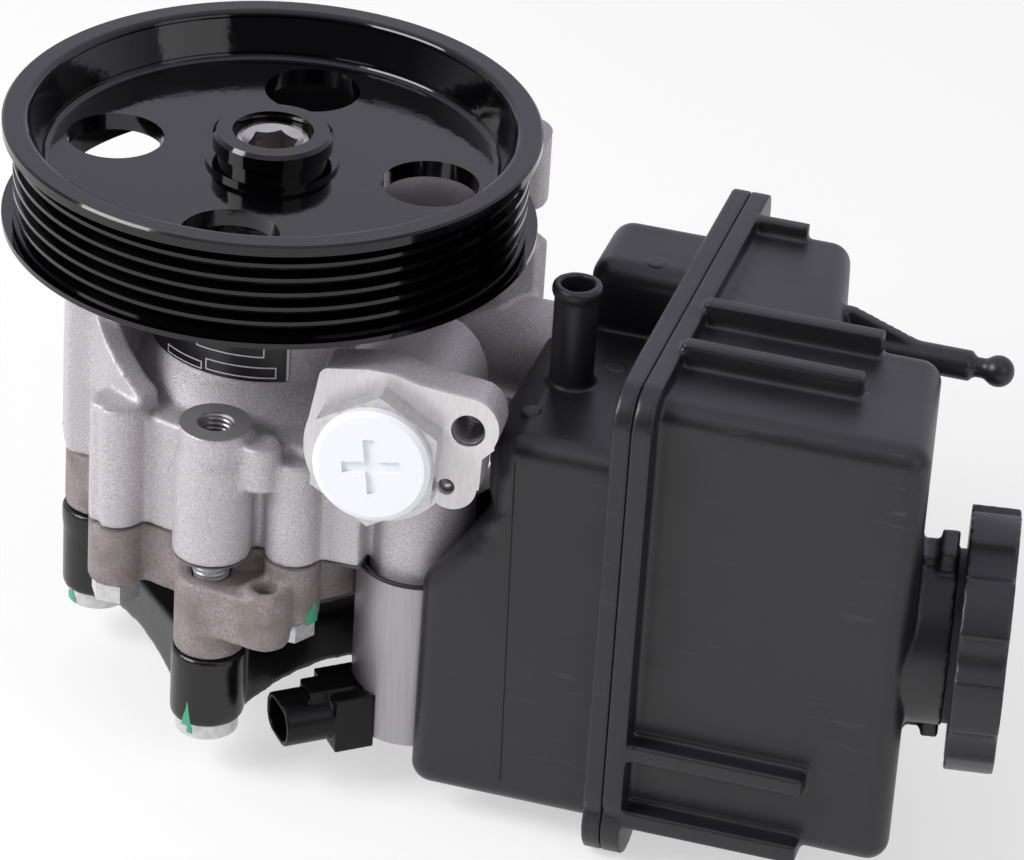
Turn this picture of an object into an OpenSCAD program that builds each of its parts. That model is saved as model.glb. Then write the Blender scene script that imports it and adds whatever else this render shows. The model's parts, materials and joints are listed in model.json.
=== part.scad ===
// Belt-driven power steering pump with a bolted-on fluid reservoir.
// The origin is on the shaft axis in the middle of the belt grooves. +Z runs along the shaft towards
// the pulley's open side, +X towards the reservoir and -Y towards the pressure outlet.

/* [Pulley] */
// Radius of the pulley's two flanges
pulley_r = 60.5; // [56:0.5:68]
// Number of belt grooves
rib_count = 6; // [4:1:8]
// Spacing of the belt grooves
rib_pitch = 3.56; // [3.2:0.02:4.2]
// Height of the flanges over the rib tips
flange_proud = 2.5; // [1.5:0.1:4]
// Depth of a belt groove
groove_depth = 2.6; // [1.8:0.1:3.2]
// Width of the flat on a rib tip
rib_flat = 0.9; // [0.5:0.1:1.4]
// Width of the upper flange
rim_land_top = 2.5; // [1.5:0.1:5]
// Width of the lower flange
rim_land_bottom = 1.3; // [1:0.1:5]
// Thickness of the rim under the grooves
rim_wall = 3.9; // [2.5:0.1:6]
// Width of the flat ring on top of the rim
lip_w = 6.1; // [4.5:0.1:8]
// Depth of the bowl from the top of the rim to the web
bowl_depth = 10.5; // [8:0.5:14]
// Thickness of the web
web_t = 4; // [3:0.5:6]
// Number of access holes in the web
access_holes = 4; // [3:1:5]
// Radius of an access hole
access_r = 11; // [7:0.5:12]
// Distance of the access holes from the axis
access_pitch_r = 36.5; // [34:0.5:38]
// Turn of the first access hole
access_phase = 4; // [-45:1:45]

/* [Hub and shaft] */
// Height of the hub over the web
hub_h = 7.5; // [6:0.5:12]
// Radius of the hub's top ring
hub_ring_r = 13.5; // [12.5:0.1:16]
// Radius of the hub's collar on the web
hub_collar_r = 15.1; // [14.5:0.1:18]
// Radius of the hub's barrel
hub_barrel_r = 12.3; // [11:0.1:12.4]
// Length of the hub under the web
hub_tail = 8; // [5:0.5:12]
// Radius of the shaft's end in the hub
shaft_end_r = 8; // [7:0.1:8.4]
// Radius of the shaft in its bearings
journal_r = 8.5; // [8.1:0.1:9.5]
// Depth of the shaft's end below the hub's top
shaft_sink = 2; // [1:0.25:3]
// Width across the flats of the hex socket in the shaft
socket_af = 10; // [8:0.5:11]

/* [Housing] */
// Gap between the pulley and the neck below it
neck_gap = 3; // [2:0.5:8]
// Height of the bearing neck
neck_h = 32; // [30:0.5:40]
// Radius of the bearing neck
neck_r = 26; // [24.5:0.5:29]
// Radius of the pump body
body_r = 40; // [38:0.5:44]
// Wall between the body and the pump chamber
body_wall = 7; // [6:0.5:8]
// Roof over the pump chamber
roof_h = 4; // [3:0.5:8]
// Radius of a mounting ear
ear_r = 8.2; // [7:0.1:10]
// Distance of each mounting ear from the middle plane
ear_x = 40.5; // [36:0.5:48]
// Height of a mounting ear
ear_h = 18; // [14:0.5:24]
// Radius of the bolt hole in an ear
ear_hole_r = 4.25; // [3.2:0.05:5.5]
// Radius of the threaded hole in the front boss
boss_hole_r = 4.15; // [3:0.05:5]
// Depth of the threaded hole in the front boss
boss_hole_depth = 15; // [10:0.5:16]

/* [Bearing and seal] */
// Outer radius of the ball bearing
bearing_r = 20; // [18.5:0.1:21.5]
// Width of the ball bearing
bearing_h = 12; // [10:0.5:13]
// Radius of a bearing ball
ball_r = 3.2; // [2.5:0.1:3.5]
// Number of bearing balls
ball_count = 8; // [6:1:9]
// Thickness of the circlip over the bearing
circlip_t = 1.2; // [0.8:0.1:2]
// Radius of the shaft seal
seal_r = 15; // [13:0.1:17]
// Width of the shaft seal
seal_h = 7; // [5:0.5:8]
// Wall of the plain bush
bush_wall = 2; // [1.2:0.1:3]

/* [Pumping group] */
// Radius of the rotor
rotor_r = 22; // [20:0.25:23.5]
// Height of the cam ring
cam_h = 14; // [12:0.5:20]
// Rise of the cam between its smallest and largest radius
cam_rise = 2.5; // [1.5:0.1:3]
// Thickness of the front plate
front_plate_h = 5; // [4:0.5:8]
// Thickness of the pressure plate
pressure_plate_h = 5; // [4:0.5:8]
// Thickness of a vane
vane_t = 1.8; // [1.4:0.1:2.2]
// Length of a vane from its foot to its tip
vane_len = 8; // [6.5:0.25:9]
// Radius of a dowel pin
dowel_r = 2; // [1.5:0.1:2.2]

/* [Rear cover and bracket] */
// Thickness of the rear cover
cover_h = 15.7; // [12:0.1:20]
// Height of the cover's leg bosses below the cover
cover_boss_h = 9.5; // [7:0.5:14]
// Height of a bracket leg
leg_h = 18.3; // [14:0.1:26]
// Radius of a bracket leg
leg_r = 8.6; // [8:0.1:10]
// Thickness of the bracket's webs
web_wall = 7; // [4:0.5:9]
// Radius of the bracket bolts
bracket_bolt_r = 4; // [3:0.1:4.4]
// Radius of a bracket bolt's head
bracket_head_r = 7.2; // [6:0.1:8]
// Thickness of a bracket bolt's head
bracket_head_h = 3.6; // [2.2:0.1:5]
// Radius of the cover bolts
cover_bolt_r = 3; // [2.5:0.1:3.5]
// Width across the flats of a cover bolt's head
cover_bolt_af = 10; // [8:0.5:11]

/* [Pressure outlet] */
// Turn of the outlet's axis from -Y towards +X
outlet_yaw = 5; // [0:0.5:8]
// Rise of the outlet's axis
outlet_tilt = 5; // [0:0.5:10]
// Width across the flats of the outlet fitting
fitting_af = 27; // [24:0.5:30]
// Height of the fitting's hexagon
fitting_h = 6.5; // [5:0.25:9]
// Radius of the dust plug's disc
plug_r = 13.1; // [11:0.1:14]
// Thickness of the dust plug's disc
plug_h = 2.6; // [2:0.1:4]
// Radius of the valve spool
spool_r = 8; // [7:0.1:8.6]
// Length of the valve spool
spool_len = 18; // [14:0.5:22]
// Travel of the valve spool
spool_travel = 4; // [3:0.25:5]
// Radius of the threaded hole beside the outlet
flange_hole_r = 3.8; // [3:0.1:4.4]
// Depth of the threaded hole beside the outlet
flange_hole_depth = 12; // [8:0.5:13]

/* [Solenoid] */
// Radius of the solenoid's sleeve
sleeve_r = 14.6; // [14:0.1:16.5]
// Length of the solenoid's sleeve
sleeve_h = 42.5; // [34:0.5:46]
// Wall of the sleeve
sleeve_wall = 1.2; // [0.8:0.1:1.6]
// Radius of the plunger
plunger_r = 6; // [4.5:0.1:7]
// Direction of the connector, seen from above
connector_turn = 219; // [205:1:230]
// Width of the connector's barrel
barrel_w = 14; // [13:0.1:16]
// Height of the connector's barrel
barrel_h = 10.4; // [9.6:0.1:12]
// Wall of the connector's barrel
barrel_wall = 1.2; // [0.8:0.1:1.6]

/* [Reservoir] */
// Gap between the pulley's edge and the reservoir's upper wall
reservoir_gap = 6.5; // [6:0.25:12]
// Depth of the left half from its upper wall to the weld
left_depth = 31.8; // [29:0.2:38]
// Depth of the right half from the weld to its front corner
right_depth = 63.7; // [58:0.5:74]
// Wall of the reservoir
tank_wall = 3; // [2.6:0.1:3.4]
// Radius of the reservoir's rounded corners
tank_corner_r = 5; // [4.4:0.1:5.4]
// Thickness of the welded flange
flange_t = 9; // [6:0.5:11]
// Height of the reservoir's flange
flange_h = 111.8; // [106:0.2:118]
// Outside radius of the return nipple
nipple_r = 5; // [4.5:0.1:6]
// Bore radius of the return nipple
nipple_bore_r = 3.75; // [3:0.05:4]
// Length of the return nipple
nipple_len = 24.8; // [20:0.2:28]
// Outside radius of the suction spigot
spigot_r = 9; // [8:0.1:10]
// Radius of the rod that ends in the ball
rod_r = 3.5; // [2.5:0.1:4]
// Radius of the ball on the rod
ball_end_r = 3.65; // [3:0.05:4.5]

/* [Filler] */
// Turn of the filler's axis from +X towards +Y
filler_yaw = 9; // [6:0.5:11]
// Outside radius of the filler neck
filler_r = 20; // [18:0.25:21]
// Wall of the filler neck
filler_wall = 2.5; // [2:0.1:3]
// Length of the filler neck
filler_len = 9.2; // [8:0.2:14]
// Radius of the filler cap
cap_r = 29.5; // [27:0.5:32]
// Thickness of the filler cap
cap_h = 11; // [9:0.25:14]
// Number of grips round the cap
cap_grips = 8; // [6:1:12]
// Length of the dipstick
dipstick_len = 50; // [40:1:56]

/* [Hidden] */
$fn = 96;
block_fn = 28;
cut = 0.5;
press_gap = 0.02;
run_gap = 0.05;
side_gap = 0.04;
loose_gap = 0.4;
part_gap = 2;

// Levels along the shaft
rib_band = rib_count * rib_pitch;
rib_tip_r = pulley_r - flange_proud;
groove_root_r = rib_tip_r - groove_depth;
rim_in_r = groove_root_r - rim_wall;
lip_r = pulley_r - lip_w;
pulley_top = rib_band / 2 + rim_land_top;
pulley_bottom = -rib_band / 2 - rim_land_bottom;
web_top = pulley_top - bowl_depth;
web_bottom = web_top - web_t;
hub_top = web_top + hub_h;
hub_bottom = web_bottom - hub_tail;
shaft_top = hub_top - shaft_sink;
neck_top = min(pulley_bottom, hub_bottom) - neck_gap;
shoulder_z = neck_top - neck_h;
chamber_top = shoulder_z - roof_h;
stack_gap = 0.3;
body_bottom = chamber_top - front_plate_h - cam_h - pressure_plate_h - stack_gap;
cover_bottom = body_bottom - cover_h;
boss_bottom = cover_bottom - cover_boss_h;
leg_bottom = boss_bottom - leg_h;
leg_boss_top = body_bottom - 5.5;

// Bearing and seal levels
circlip_cover = 1.5;
circlip_z = neck_top - circlip_cover - circlip_t;
bearing_z = circlip_z - side_gap - bearing_h;
seal_z = bearing_z - 2 - seal_h;
bush_top = seal_z - 1;

// Chamber and pumping group
chamber_r = body_r - body_wall;
plate_r = chamber_r - press_gap;
cam_min_r = rotor_r + 1;
vane_count = 10;
vane_tip_r = cam_min_r - 0.15;
vane_foot_r = vane_tip_r - vane_len;
vane_travel = 1.8;
cam_z = chamber_top - front_plate_h - cam_h;
plate_z = cam_z - pressure_plate_h;
dowel_ring_r = (cam_min_r + plate_r) / 2;
dowel_len = chamber_top - body_bottom + 5;
spline_teeth = 10;
spline_w = 2.4;
spline_depth = 1.1;
ring_t = 1.2;
shaft_bottom = cam_z - 5;
shaft_bore_r = journal_r + 2.6;
seal_ring_r = chamber_r + 1.2;
seal_wire_r = 0.8;

// Screw places round the body
leg_turn = [-86.6, 178.6, 3];
leg_out = [2, 0, 0];
leg_rise = [0, 4, 0];
leg_pos = [for (i = [0:2]) (body_r + leg_out[i]) * [cos(leg_turn[i]), sin(leg_turn[i])]];
bolt_turn = [-61.6, -121.2, 48, 132];
bolt_ring_r = body_r + 2.8;
bolt_pos = [for (t = bolt_turn) bolt_ring_r * [cos(t), sin(t)]];
column_rise = [-2, 2.5, -2, -2];
cover_bolt_depth = 15;
column_r = 9;
bolt_column_r = 6.5;
front_boss_top = shoulder_z + 4.7;
cast_boss_at = [13.2, -body_r - 2.5];
cast_boss_size = [9.6, 9.2];
cast_boss_h = 11.4;
thread_reach = 15;

// Bracket walls run from each leg to the next
function wall_span(i) = norm(leg_pos[(i + 1) % 3] - leg_pos[i]);
function wall_turn(i) = let (d = leg_pos[(i + 1) % 3] - leg_pos[i]) atan2(d.y, d.x);
arch_rise = 5.5;
function arch_half(i) = wall_span(i) / 2 - leg_r;
function arch_r(i) = (pow(arch_half(i), 2) + pow(arch_rise, 2)) / (2 * arch_rise);

// Mounting ears stay clear of the pulley
ear_y = sqrt(pow(pulley_r + ear_r + 4.5, 2) - pow(ear_x, 2));
ear_top = pulley_bottom + 1.2;
yoke_top = pulley_bottom - 6;
yoke_h = 10;
arm_floor = shoulder_z + 3;
arm_h = yoke_top - yoke_h + 2 - arm_floor;

// Outlet and valve
outlet_pos = [body_r + 3, -body_r - 10, shoulder_z + 10.9];
face_r = 17;
face_depth = 12;
valve_boss_r = 15.5;
valve_floor = 2;
thread_r = spool_r + 1.4;
thread_depth = 12;
outlet_bore_r = 5.5;
spool_start = thread_depth + 1;
spring_wire_r = 0.8;
spring_r = spool_r - 2;
spring_start = spool_start + spool_len;
spring_short = 8;
spring_len = spring_short + spool_travel;
valve_depth = spring_start + spring_len + valve_floor;
spring_turns = 4;
flange_hole_at = [19.3, 7.8];
flange_lobe_at = flange_hole_at + [-0.4, 0.6];
flange_lobe_r = 7.2;
locating_hole_at = [15.3, -6.3];
locating_hole_r = 1.95;

// Solenoid
sol_turn = -27.6;
sol_pos = (body_r + 12.6) * [cos(sol_turn), sin(sol_turn)];
sol_top = shoulder_z - 30;
sol_bottom = sol_top - sleeve_h;
sol_boss_r = sleeve_r - sleeve_wall - 1.6;
sol_boss_bottom = sol_top - 6;
sol_seal_r = (sleeve_r - sleeve_wall + sol_boss_r) / 2;
coil_r = sleeve_r - sleeve_wall - 0.2;
coil_h = sol_boss_bottom - sol_bottom - sleeve_wall;
plunger_travel = 1.5;
plunger_h = coil_h - 4.5 - plunger_travel;
connector_z = sol_bottom + 4.5;
tongue_w = 7;
block_w = 15;
block_h = 14;
block_reach = 22;
barrel_reach = 33.5;
socket_depth = 10;
pin_r = 0.6;
pin_len = 3.5;

// Reservoir
upper_x = pulley_r + reservoir_gap;
lower_x = upper_x - 15.5;
back_x = upper_x + 4.5;
weld_x = upper_x + left_depth;
corner_x = weld_x + right_depth;
tank_front = -44;
tank_step_y = 13;
tank_back = 47;
left_back = 39;
flange_front = -50;
flange_back = 57;
flange_corner_r = 9;
back_corner_r = 4;
flange_top = shoulder_z + 35.2;
flange_bottom = flange_top - flange_h;
lobe_r = 10;
upper_top = shoulder_z + 15.2;
tank_top = flange_top - 3.5;
tank_bottom = flange_bottom + 1.5;
lower_bottom = flange_bottom - 2;
slope_low = shoulder_z - 22;
slope_high = shoulder_z - 3;
lower_back = 22;
back_bottom = shoulder_z - 53;
right_step_y = 1.5;
wing_x = weld_x + 42;
wing_back_x = weld_x + 27;
nipple_pos = [upper_x + 8.5, -12];
suction_pos = [26, shoulder_z - 1];
suction_end = upper_x - 20;
suction_boss_r = spigot_r + 3;
suction_boss_x = upper_x - 2;
suction_seal_x = suction_end + 6;
suction_wire_r = 0.6;
lug_pos = [body_r + 12, 45];
lug_top = shoulder_z - 9;
lug_t = 5;
lug_r = 7;
lug_screw_r = 3;
rod_pos = [18, shoulder_z + 21];
rod_root_x = weld_x + 21;
rod_end_x = corner_x + 3.5;
rail_len = 40;
rail_t = 4;
rail_h = 5.5;
rail_y = [-23, -3.5];
front_rail_z = [tank_bottom + 2.2, tank_bottom + 20];
front_rail_t = 4.6;

// Filler, seen along its own axis
filler_y = -22;
filler_at = [corner_x - (filler_y - tank_front) * tan(filler_yaw), filler_y, shoulder_z - 25.4];
filler_bore_r = filler_r - filler_wall;
gasket_t = 1.5;
cap_spigot_r = filler_bore_r - loose_gap;
cap_spigot_h = 8;
cap_base = filler_len + gasket_t;

// Points of an arc, from one angle to another
function arc(centre, r, from, to, steps = 6) =
    [for (i = [0:steps]) centre + r * [cos(from + (to - from) * i / steps),
        sin(from + (to - from) * i / steps)]];

// Ring with a square section
module ring(r_out, r_in, h) {
    difference() {
        cylinder(r = r_out, h = h);
        translate([0, 0, -cut]) cylinder(r = r_in, h = h + 2 * cut);
    }
}

// Round-section ring, such as a seal
module round_ring(r, wire_r) {
    rotate_extrude() translate([r, 0]) circle(r = wire_r, $fn = 32);
}

// Rounded block between two corners
module soft_block(low, high, r) {
    hull()
        for (x = [low.x + r, high.x - r], y = [low.y + r, high.y - r], z = [low.z + r, high.z - r])
            translate([x, y, z]) sphere(r = r, $fn = block_fn);
}

// Rounded upright prism over a plan of corners that are given at the balls' centres
module soft_prism(plan, low, high, r) {
    hull()
        for (p = plan, z = [low + r, high - r])
            translate([p.x, p.y, z]) sphere(r = r, $fn = block_fn);
}

// Flat plate outline with rounded corners
module round_rect(low, high, r) {
    translate([low.x + r, low.y]) square([high.x - low.x - 2 * r, high.y - low.y]);
    translate([low.x, low.y + r]) square([high.x - low.x, high.y - low.y - 2 * r]);
    for (x = [low.x + r, high.x - r], y = [low.y + r, high.y - r])
        translate([x, y]) circle(r = r);
}

// Hexagon prism by its width across the flats
module hex(af, h) {
    cylinder(r = af / sqrt(3), h = h, $fn = 6);
}

// Places its children on the outlet's face: X along the face, Y up it and Z out of it
module at_outlet() {
    translate(outlet_pos) rotate([0, 0, outlet_yaw]) rotate([90 - outlet_tilt, 0, 0]) children();
}

// Places its children on the filler's axis, with Z out along it
module at_filler() {
    translate(filler_at) rotate([0, 0, filler_yaw]) rotate([0, 90, 0]) children();
}

// Places its children at the solenoid, with X out along the connector
module at_connector() {
    translate([sol_pos.x, sol_pos.y, connector_z]) rotate([0, 0, connector_turn]) children();
}

// Places its children at a leg, with X along the wall to the next leg
module bracket_wall(i) {
    translate([leg_pos[i].x, leg_pos[i].y]) rotate([0, 0, wall_turn(i)]) children();
}

module along_x() {
    rotate([0, 90, 0]) children();
}

// Section of the pulley, without its belt grooves
function pulley_section(edge = 0.5, lip_round = 1.6, fillet = 1.6) = concat(
    [[hub_barrel_r + press_gap, web_bottom], [rim_in_r, web_bottom], [rim_in_r, pulley_bottom],
     [pulley_r, pulley_bottom], [pulley_r, -rib_band / 2], [rib_tip_r, -rib_band / 2],
     [rib_tip_r, rib_band / 2], [pulley_r, rib_band / 2], [pulley_r, pulley_top - edge],
     [pulley_r - edge, pulley_top]],
    arc([lip_r + lip_round, pulley_top - lip_round], lip_round, 90, 180),
    arc([rim_in_r - fillet, web_top + fillet], fillet, 0, -90),
    [[hub_barrel_r + press_gap, web_top]]);

module pulley() {
    half_mouth = (rib_pitch - rib_flat) / 2;
    half_root = 0.6;
    color("#0c0c0e") difference() {
        rotate_extrude() difference() {
            polygon(pulley_section());
            for (i = [0:rib_count - 1])
                translate([rib_tip_r, (i - (rib_count - 1) / 2) * rib_pitch])
                    polygon([[cut, -half_mouth - 0.1], [cut, half_mouth + 0.1], [0, half_mouth],
                             [-groove_depth, half_root], [-groove_depth, -half_root], [0, -half_mouth]]);
        }
        for (k = [0:access_holes - 1])
            rotate([0, 0, access_phase + k * 360 / access_holes])
                translate([access_pitch_r, 0, web_bottom - cut])
                    cylinder(r = access_r, h = web_t + 2 * cut);
    }
}

module pulley_hub() {
    bore_r = shaft_end_r + press_gap;
    recess_r = bore_r + 1.1;
    color("#111113") rotate_extrude() polygon([
        [bore_r, hub_bottom], [hub_barrel_r, hub_bottom], [hub_barrel_r, web_top], [hub_collar_r, web_top],
        [hub_collar_r, web_top + 1], [hub_barrel_r, web_top + 1], [hub_barrel_r, hub_top - 4],
        [hub_ring_r, hub_top - 4], [hub_ring_r, hub_top - 0.8], [hub_ring_r - 0.8, hub_top],
        [recess_r, hub_top], [recess_r, shaft_top - 0.3], [bore_r, shaft_top - 0.3]]);
}

module drive_shaft() {
    socket_depth = 12;
    color("#b9b7b4") difference() {
        union() {
            translate([0, 0, hub_bottom]) cylinder(r = shaft_end_r, h = shaft_top - hub_bottom);
            translate([0, 0, shaft_bottom]) cylinder(r = journal_r, h = hub_bottom - shaft_bottom);
        }
        translate([0, 0, shaft_top - socket_depth]) rotate([0, 0, 30]) hex(socket_af, socket_depth + cut);
        translate([0, 0, shaft_top - 1.2]) cylinder(r1 = socket_af / 2, r2 = shaft_end_r - 1, h = 1.2);
        translate([0, 0, shaft_top]) cylinder(r = shaft_end_r - 1, h = cut);
        for (i = [0:spline_teeth - 1])
            rotate([0, 0, i * 360 / spline_teeth])
                translate([journal_r - spline_depth, -spline_w / 2, shaft_bottom - cut])
                    cube([2 * spline_depth, spline_w, cam_z + cam_h - shaft_bottom + cut]);
        translate([0, 0, cam_z + side_gap - ring_t - run_gap])
            ring(journal_r + 1, journal_r - 0.9, ring_t + run_gap);
    }
}

module rotor() {
    tooth = spline_w - 2 * run_gap;
    color("#8d8f92") translate([0, 0, cam_z + side_gap]) difference() {
        union() {
            ring(rotor_r, journal_r + run_gap, cam_h - 2 * side_gap);
            for (i = [0:spline_teeth - 1])
                rotate([0, 0, i * 360 / spline_teeth])
                    translate([journal_r - spline_depth + run_gap, -tooth / 2, 0])
                        cube([2 * spline_depth, tooth, cam_h - 2 * side_gap]);
        }
        for (i = [0:vane_count - 1])
            rotate([0, 0, (i + 0.5) * 360 / vane_count]) {
                translate([vane_foot_r - vane_travel - 0.6, -vane_t / 2 - side_gap, -cut])
                    cube([rotor_r, vane_t + 2 * side_gap, cam_h + 2 * cut]);
                translate([vane_foot_r - vane_travel - 0.6, 0, -cut])
                    cylinder(r = vane_t / 2 + 0.5, h = cam_h + 2 * cut);
            }
    }
}

module vane(i) {
    color("#a5a7aa") rotate([0, 0, (i - 0.5) * 360 / vane_count])
        translate([vane_foot_r, -vane_t / 2, cam_z + side_gap]) {
            cube([vane_len - vane_t / 2, vane_t, cam_h - 2 * side_gap]);
            translate([vane_len - vane_t / 2, vane_t / 2, 0])
                cylinder(r = vane_t / 2, h = cam_h - 2 * side_gap);
        }
}

module rotor_ring() {
    color("#3a3b3e") translate([0, 0, cam_z + side_gap - ring_t]) difference() {
        ring(journal_r + 1.8, journal_r - 0.9 + press_gap, ring_t);
        translate([0, -1.5, -cut]) cube([journal_r + 3, 3, ring_t + 2 * cut]);
    }
}

// Middle radius of the ball bearing
bearing_pitch_r = (bearing_r + journal_r) / 2;
race_gap = 2.4;

module race(r_out, r_in) {
    rotate_extrude() difference() {
        translate([r_in, bearing_z]) square([r_out - r_in, bearing_h]);
        translate([bearing_pitch_r, bearing_z + bearing_h / 2]) circle(r = ball_r + run_gap, $fn = 48);
    }
}

module bearing_inner_race() {
    color("#c9cacc") race(bearing_pitch_r - race_gap, journal_r + press_gap);
}

module bearing_outer_race() {
    color("#c9cacc") race(bearing_r, bearing_pitch_r + race_gap);
}

module bearing_balls() {
    color("#d5d6d8")
        for (i = [0:ball_count - 1])
            rotate([0, 0, i * 360 / ball_count])
                translate([bearing_pitch_r, 0, bearing_z + bearing_h / 2]) sphere(r = ball_r, $fn = 48);
}

module bearing_circlip() {
    color("#2e2f31") translate([0, 0, circlip_z]) difference() {
        ring(bearing_r + 1, bearing_r - 2, circlip_t);
        translate([0, -3, -cut]) cube([bearing_r + 3, 6, circlip_t + 2 * cut]);
    }
}

module shaft_seal() {
    lip_in = journal_r + run_gap;
    color("#5b2f24") rotate_extrude() translate([0, seal_z]) polygon([
        [seal_r - press_gap, 0], [seal_r - press_gap, seal_h], [lip_in + 2.2, seal_h], [lip_in, seal_h / 2],
        [lip_in, seal_h / 2 - 0.8], [lip_in + 1.4, 1.5], [seal_r - 2.5, seal_h - 2.2], [seal_r - 2.5, 0]]);
}

module shaft_bush() {
    color("#a67c45") translate([0, 0, chamber_top])
        ring(journal_r + bush_wall, journal_r + run_gap, bush_top - chamber_top);
}

// Kidney ports of the two plates, a pair on each side
module kidney_ports(h) {
    for (k = [0, 1], s = [-1, 1])
        rotate([0, 0, k * 180 + s * 32 + 72])
            translate([0, 0, -cut]) rotate_extrude(angle = 36)
                translate([cam_min_r - 3.5, 0]) square([4, h + 2 * cut]);
}

module dowel_places() {
    for (a = [0, 180]) rotate([0, 0, a]) translate([dowel_ring_r, 0, 0]) children();
}

module stack_plate(h, bore_r) {
    difference() {
        ring(plate_r, bore_r, h);
        kidney_ports(h);
        dowel_places() translate([0, 0, -cut]) cylinder(r = dowel_r + press_gap, h = h + 2 * cut);
    }
}

module front_plate() {
    color("#97999c") translate([0, 0, chamber_top - front_plate_h])
        stack_plate(front_plate_h, journal_r + loose_gap);
}

module pressure_plate() {
    color("#8b8d90") translate([0, 0, plate_z]) stack_plate(pressure_plate_h, shaft_bore_r);
}

// Inside outline of the cam: two equal rises in one turn
function cam_r(t) = cam_min_r + cam_rise * (1 - cos(2 * t)) / 2;
function cam_outline(steps = 72) =
    [for (i = [0:steps - 1]) let (t = i * 360 / steps) cam_r(t) * [cos(t), sin(t)]];

module cam_ring() {
    color("#9fa1a4") translate([0, 0, cam_z]) difference() {
        cylinder(r = plate_r, h = cam_h);
        translate([0, 0, -cut]) linear_extrude(cam_h + 2 * cut) polygon(cam_outline());
        dowel_places() translate([0, 0, -cut]) cylinder(r = dowel_r + press_gap, h = cam_h + 2 * cut);
    }
}

module dowel_pins() {
    color("#c2c3c5") dowel_places()
        translate([0, 0, chamber_top - side_gap - dowel_len]) cylinder(r = dowel_r, h = dowel_len);
}

module cover_seal() {
    color("#1a1a1b") translate([0, 0, body_bottom - seal_wire_r - side_gap])
        round_ring(seal_ring_r, seal_wire_r);
}

// Raised arm on the housing's left, and the rib that curves from it down to the front column
module left_arm() {
    arm_r = body_r + 6;
    arm_top = shoulder_z + 20;
    arm_foot = body_bottom + 6;
    arm_front = -body_r + 16;
    arm_back = body_r - 14;
    rib_r = body_r - 2;
    rib_t = 6;
    rib_from = 210;
    rib_sweep = 36;
    rib_fall = 31;
    rib_high = shoulder_z + 18;
    rib_low = shoulder_z - 4;
    intersection() {
        translate([0, 0, arm_foot]) cylinder(r = arm_r, h = arm_top - arm_foot);
        translate([-2 * body_r, arm_front, arm_foot - cut])
            cube([2 * body_r - neck_r - 1, arm_back - arm_front, arm_top - arm_foot + 2 * cut]);
    }
    rotate([0, 0, rib_from]) difference() {
        rotate_extrude(angle = rib_sweep)
            translate([rib_r - rib_t / 2, rib_low]) square([rib_t, rib_high - rib_low]);
        translate([rib_r, 0, rib_high]) rotate([0, 0, 90 + rib_sweep / 2]) rotate([0, rib_fall, 0])
            translate([-body_r, -body_r, 0]) cube(2 * body_r);
    }
}

// Outline of the machined face round the outlet
module outlet_outline() {
    circle(r = face_r);
    translate([-12.2, 15.6]) circle(r = 2.2);
    translate(flange_lobe_at) circle(r = flange_lobe_r);
    translate(locating_hole_at + [1.2, 0.4]) circle(r = 5.6);
    polygon([[-face_r + 0.3, 2], [-14.4, 15.8], [-12.2, 17.8], [-4, 18.8], [2, 18.6], [8, 16.9],
             [flange_hole_at.x - 1, flange_hole_at.y + 7.8], [24.5, 12], [24.3, 8.3], [25.4, 4.2],
             [22.8, 1.5], [22.6, -6], locating_hole_at]);
}

// Boss of the control valve, behind the outlet's face
module valve_boss() {
    at_outlet() {
        translate([0, 0, -face_depth]) linear_extrude(face_depth) outlet_outline();
        translate([0, 0, -valve_depth]) cylinder(r = valve_boss_r, h = valve_depth - 2);
    }
    translate([sol_pos.x, sol_pos.y, sol_boss_bottom])
        cylinder(r = sol_boss_r, h = outlet_pos.z - sol_boss_bottom);
}

module valve_bores() {
    at_outlet() {
        translate([0, 0, -thread_depth]) cylinder(r = thread_r + press_gap, h = thread_depth + cut);
        translate([0, 0, -valve_depth + valve_floor]) cylinder(r = spool_r, h = valve_depth - valve_floor);
        translate([flange_hole_at.x, flange_hole_at.y, -flange_hole_depth])
            cylinder(r = flange_hole_r, h = flange_hole_depth + cut);
        translate([locating_hole_at.x, locating_hole_at.y, -6]) cylinder(r = locating_hole_r, h = 6 + cut);
    }
}

// Yoke with the two back ears that carry the pump
module ear_yoke() {
    arm_front = 14;
    for (s = [-1, 1])
        translate([s * ear_x, ear_y, ear_top - ear_h]) cylinder(r = ear_r, h = ear_h);
    translate([0, 0, yoke_top - yoke_h]) linear_extrude(yoke_h)
        polygon([[-ear_x - ear_r + 1, ear_y], [-ear_x + 3, ear_y + ear_r - 1], [-neck_r, ear_y - 12],
                 [neck_r, ear_y - 12], [ear_x - 3, ear_y + ear_r - 1], [ear_x + ear_r - 1, ear_y],
                 [neck_r + 6, arm_front], [-neck_r - 6, arm_front]]);
    // Lower arm towards the suction port
    translate([0, 0, arm_floor]) linear_extrude(arm_h)
        polygon([[0, arm_front], [neck_r, arm_front - 6], [body_r + 9, 22], [body_r + 14, 32],
                 [body_r + 15, 40], [body_r + 8, 46], [0, body_r + 4]]);
}

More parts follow.
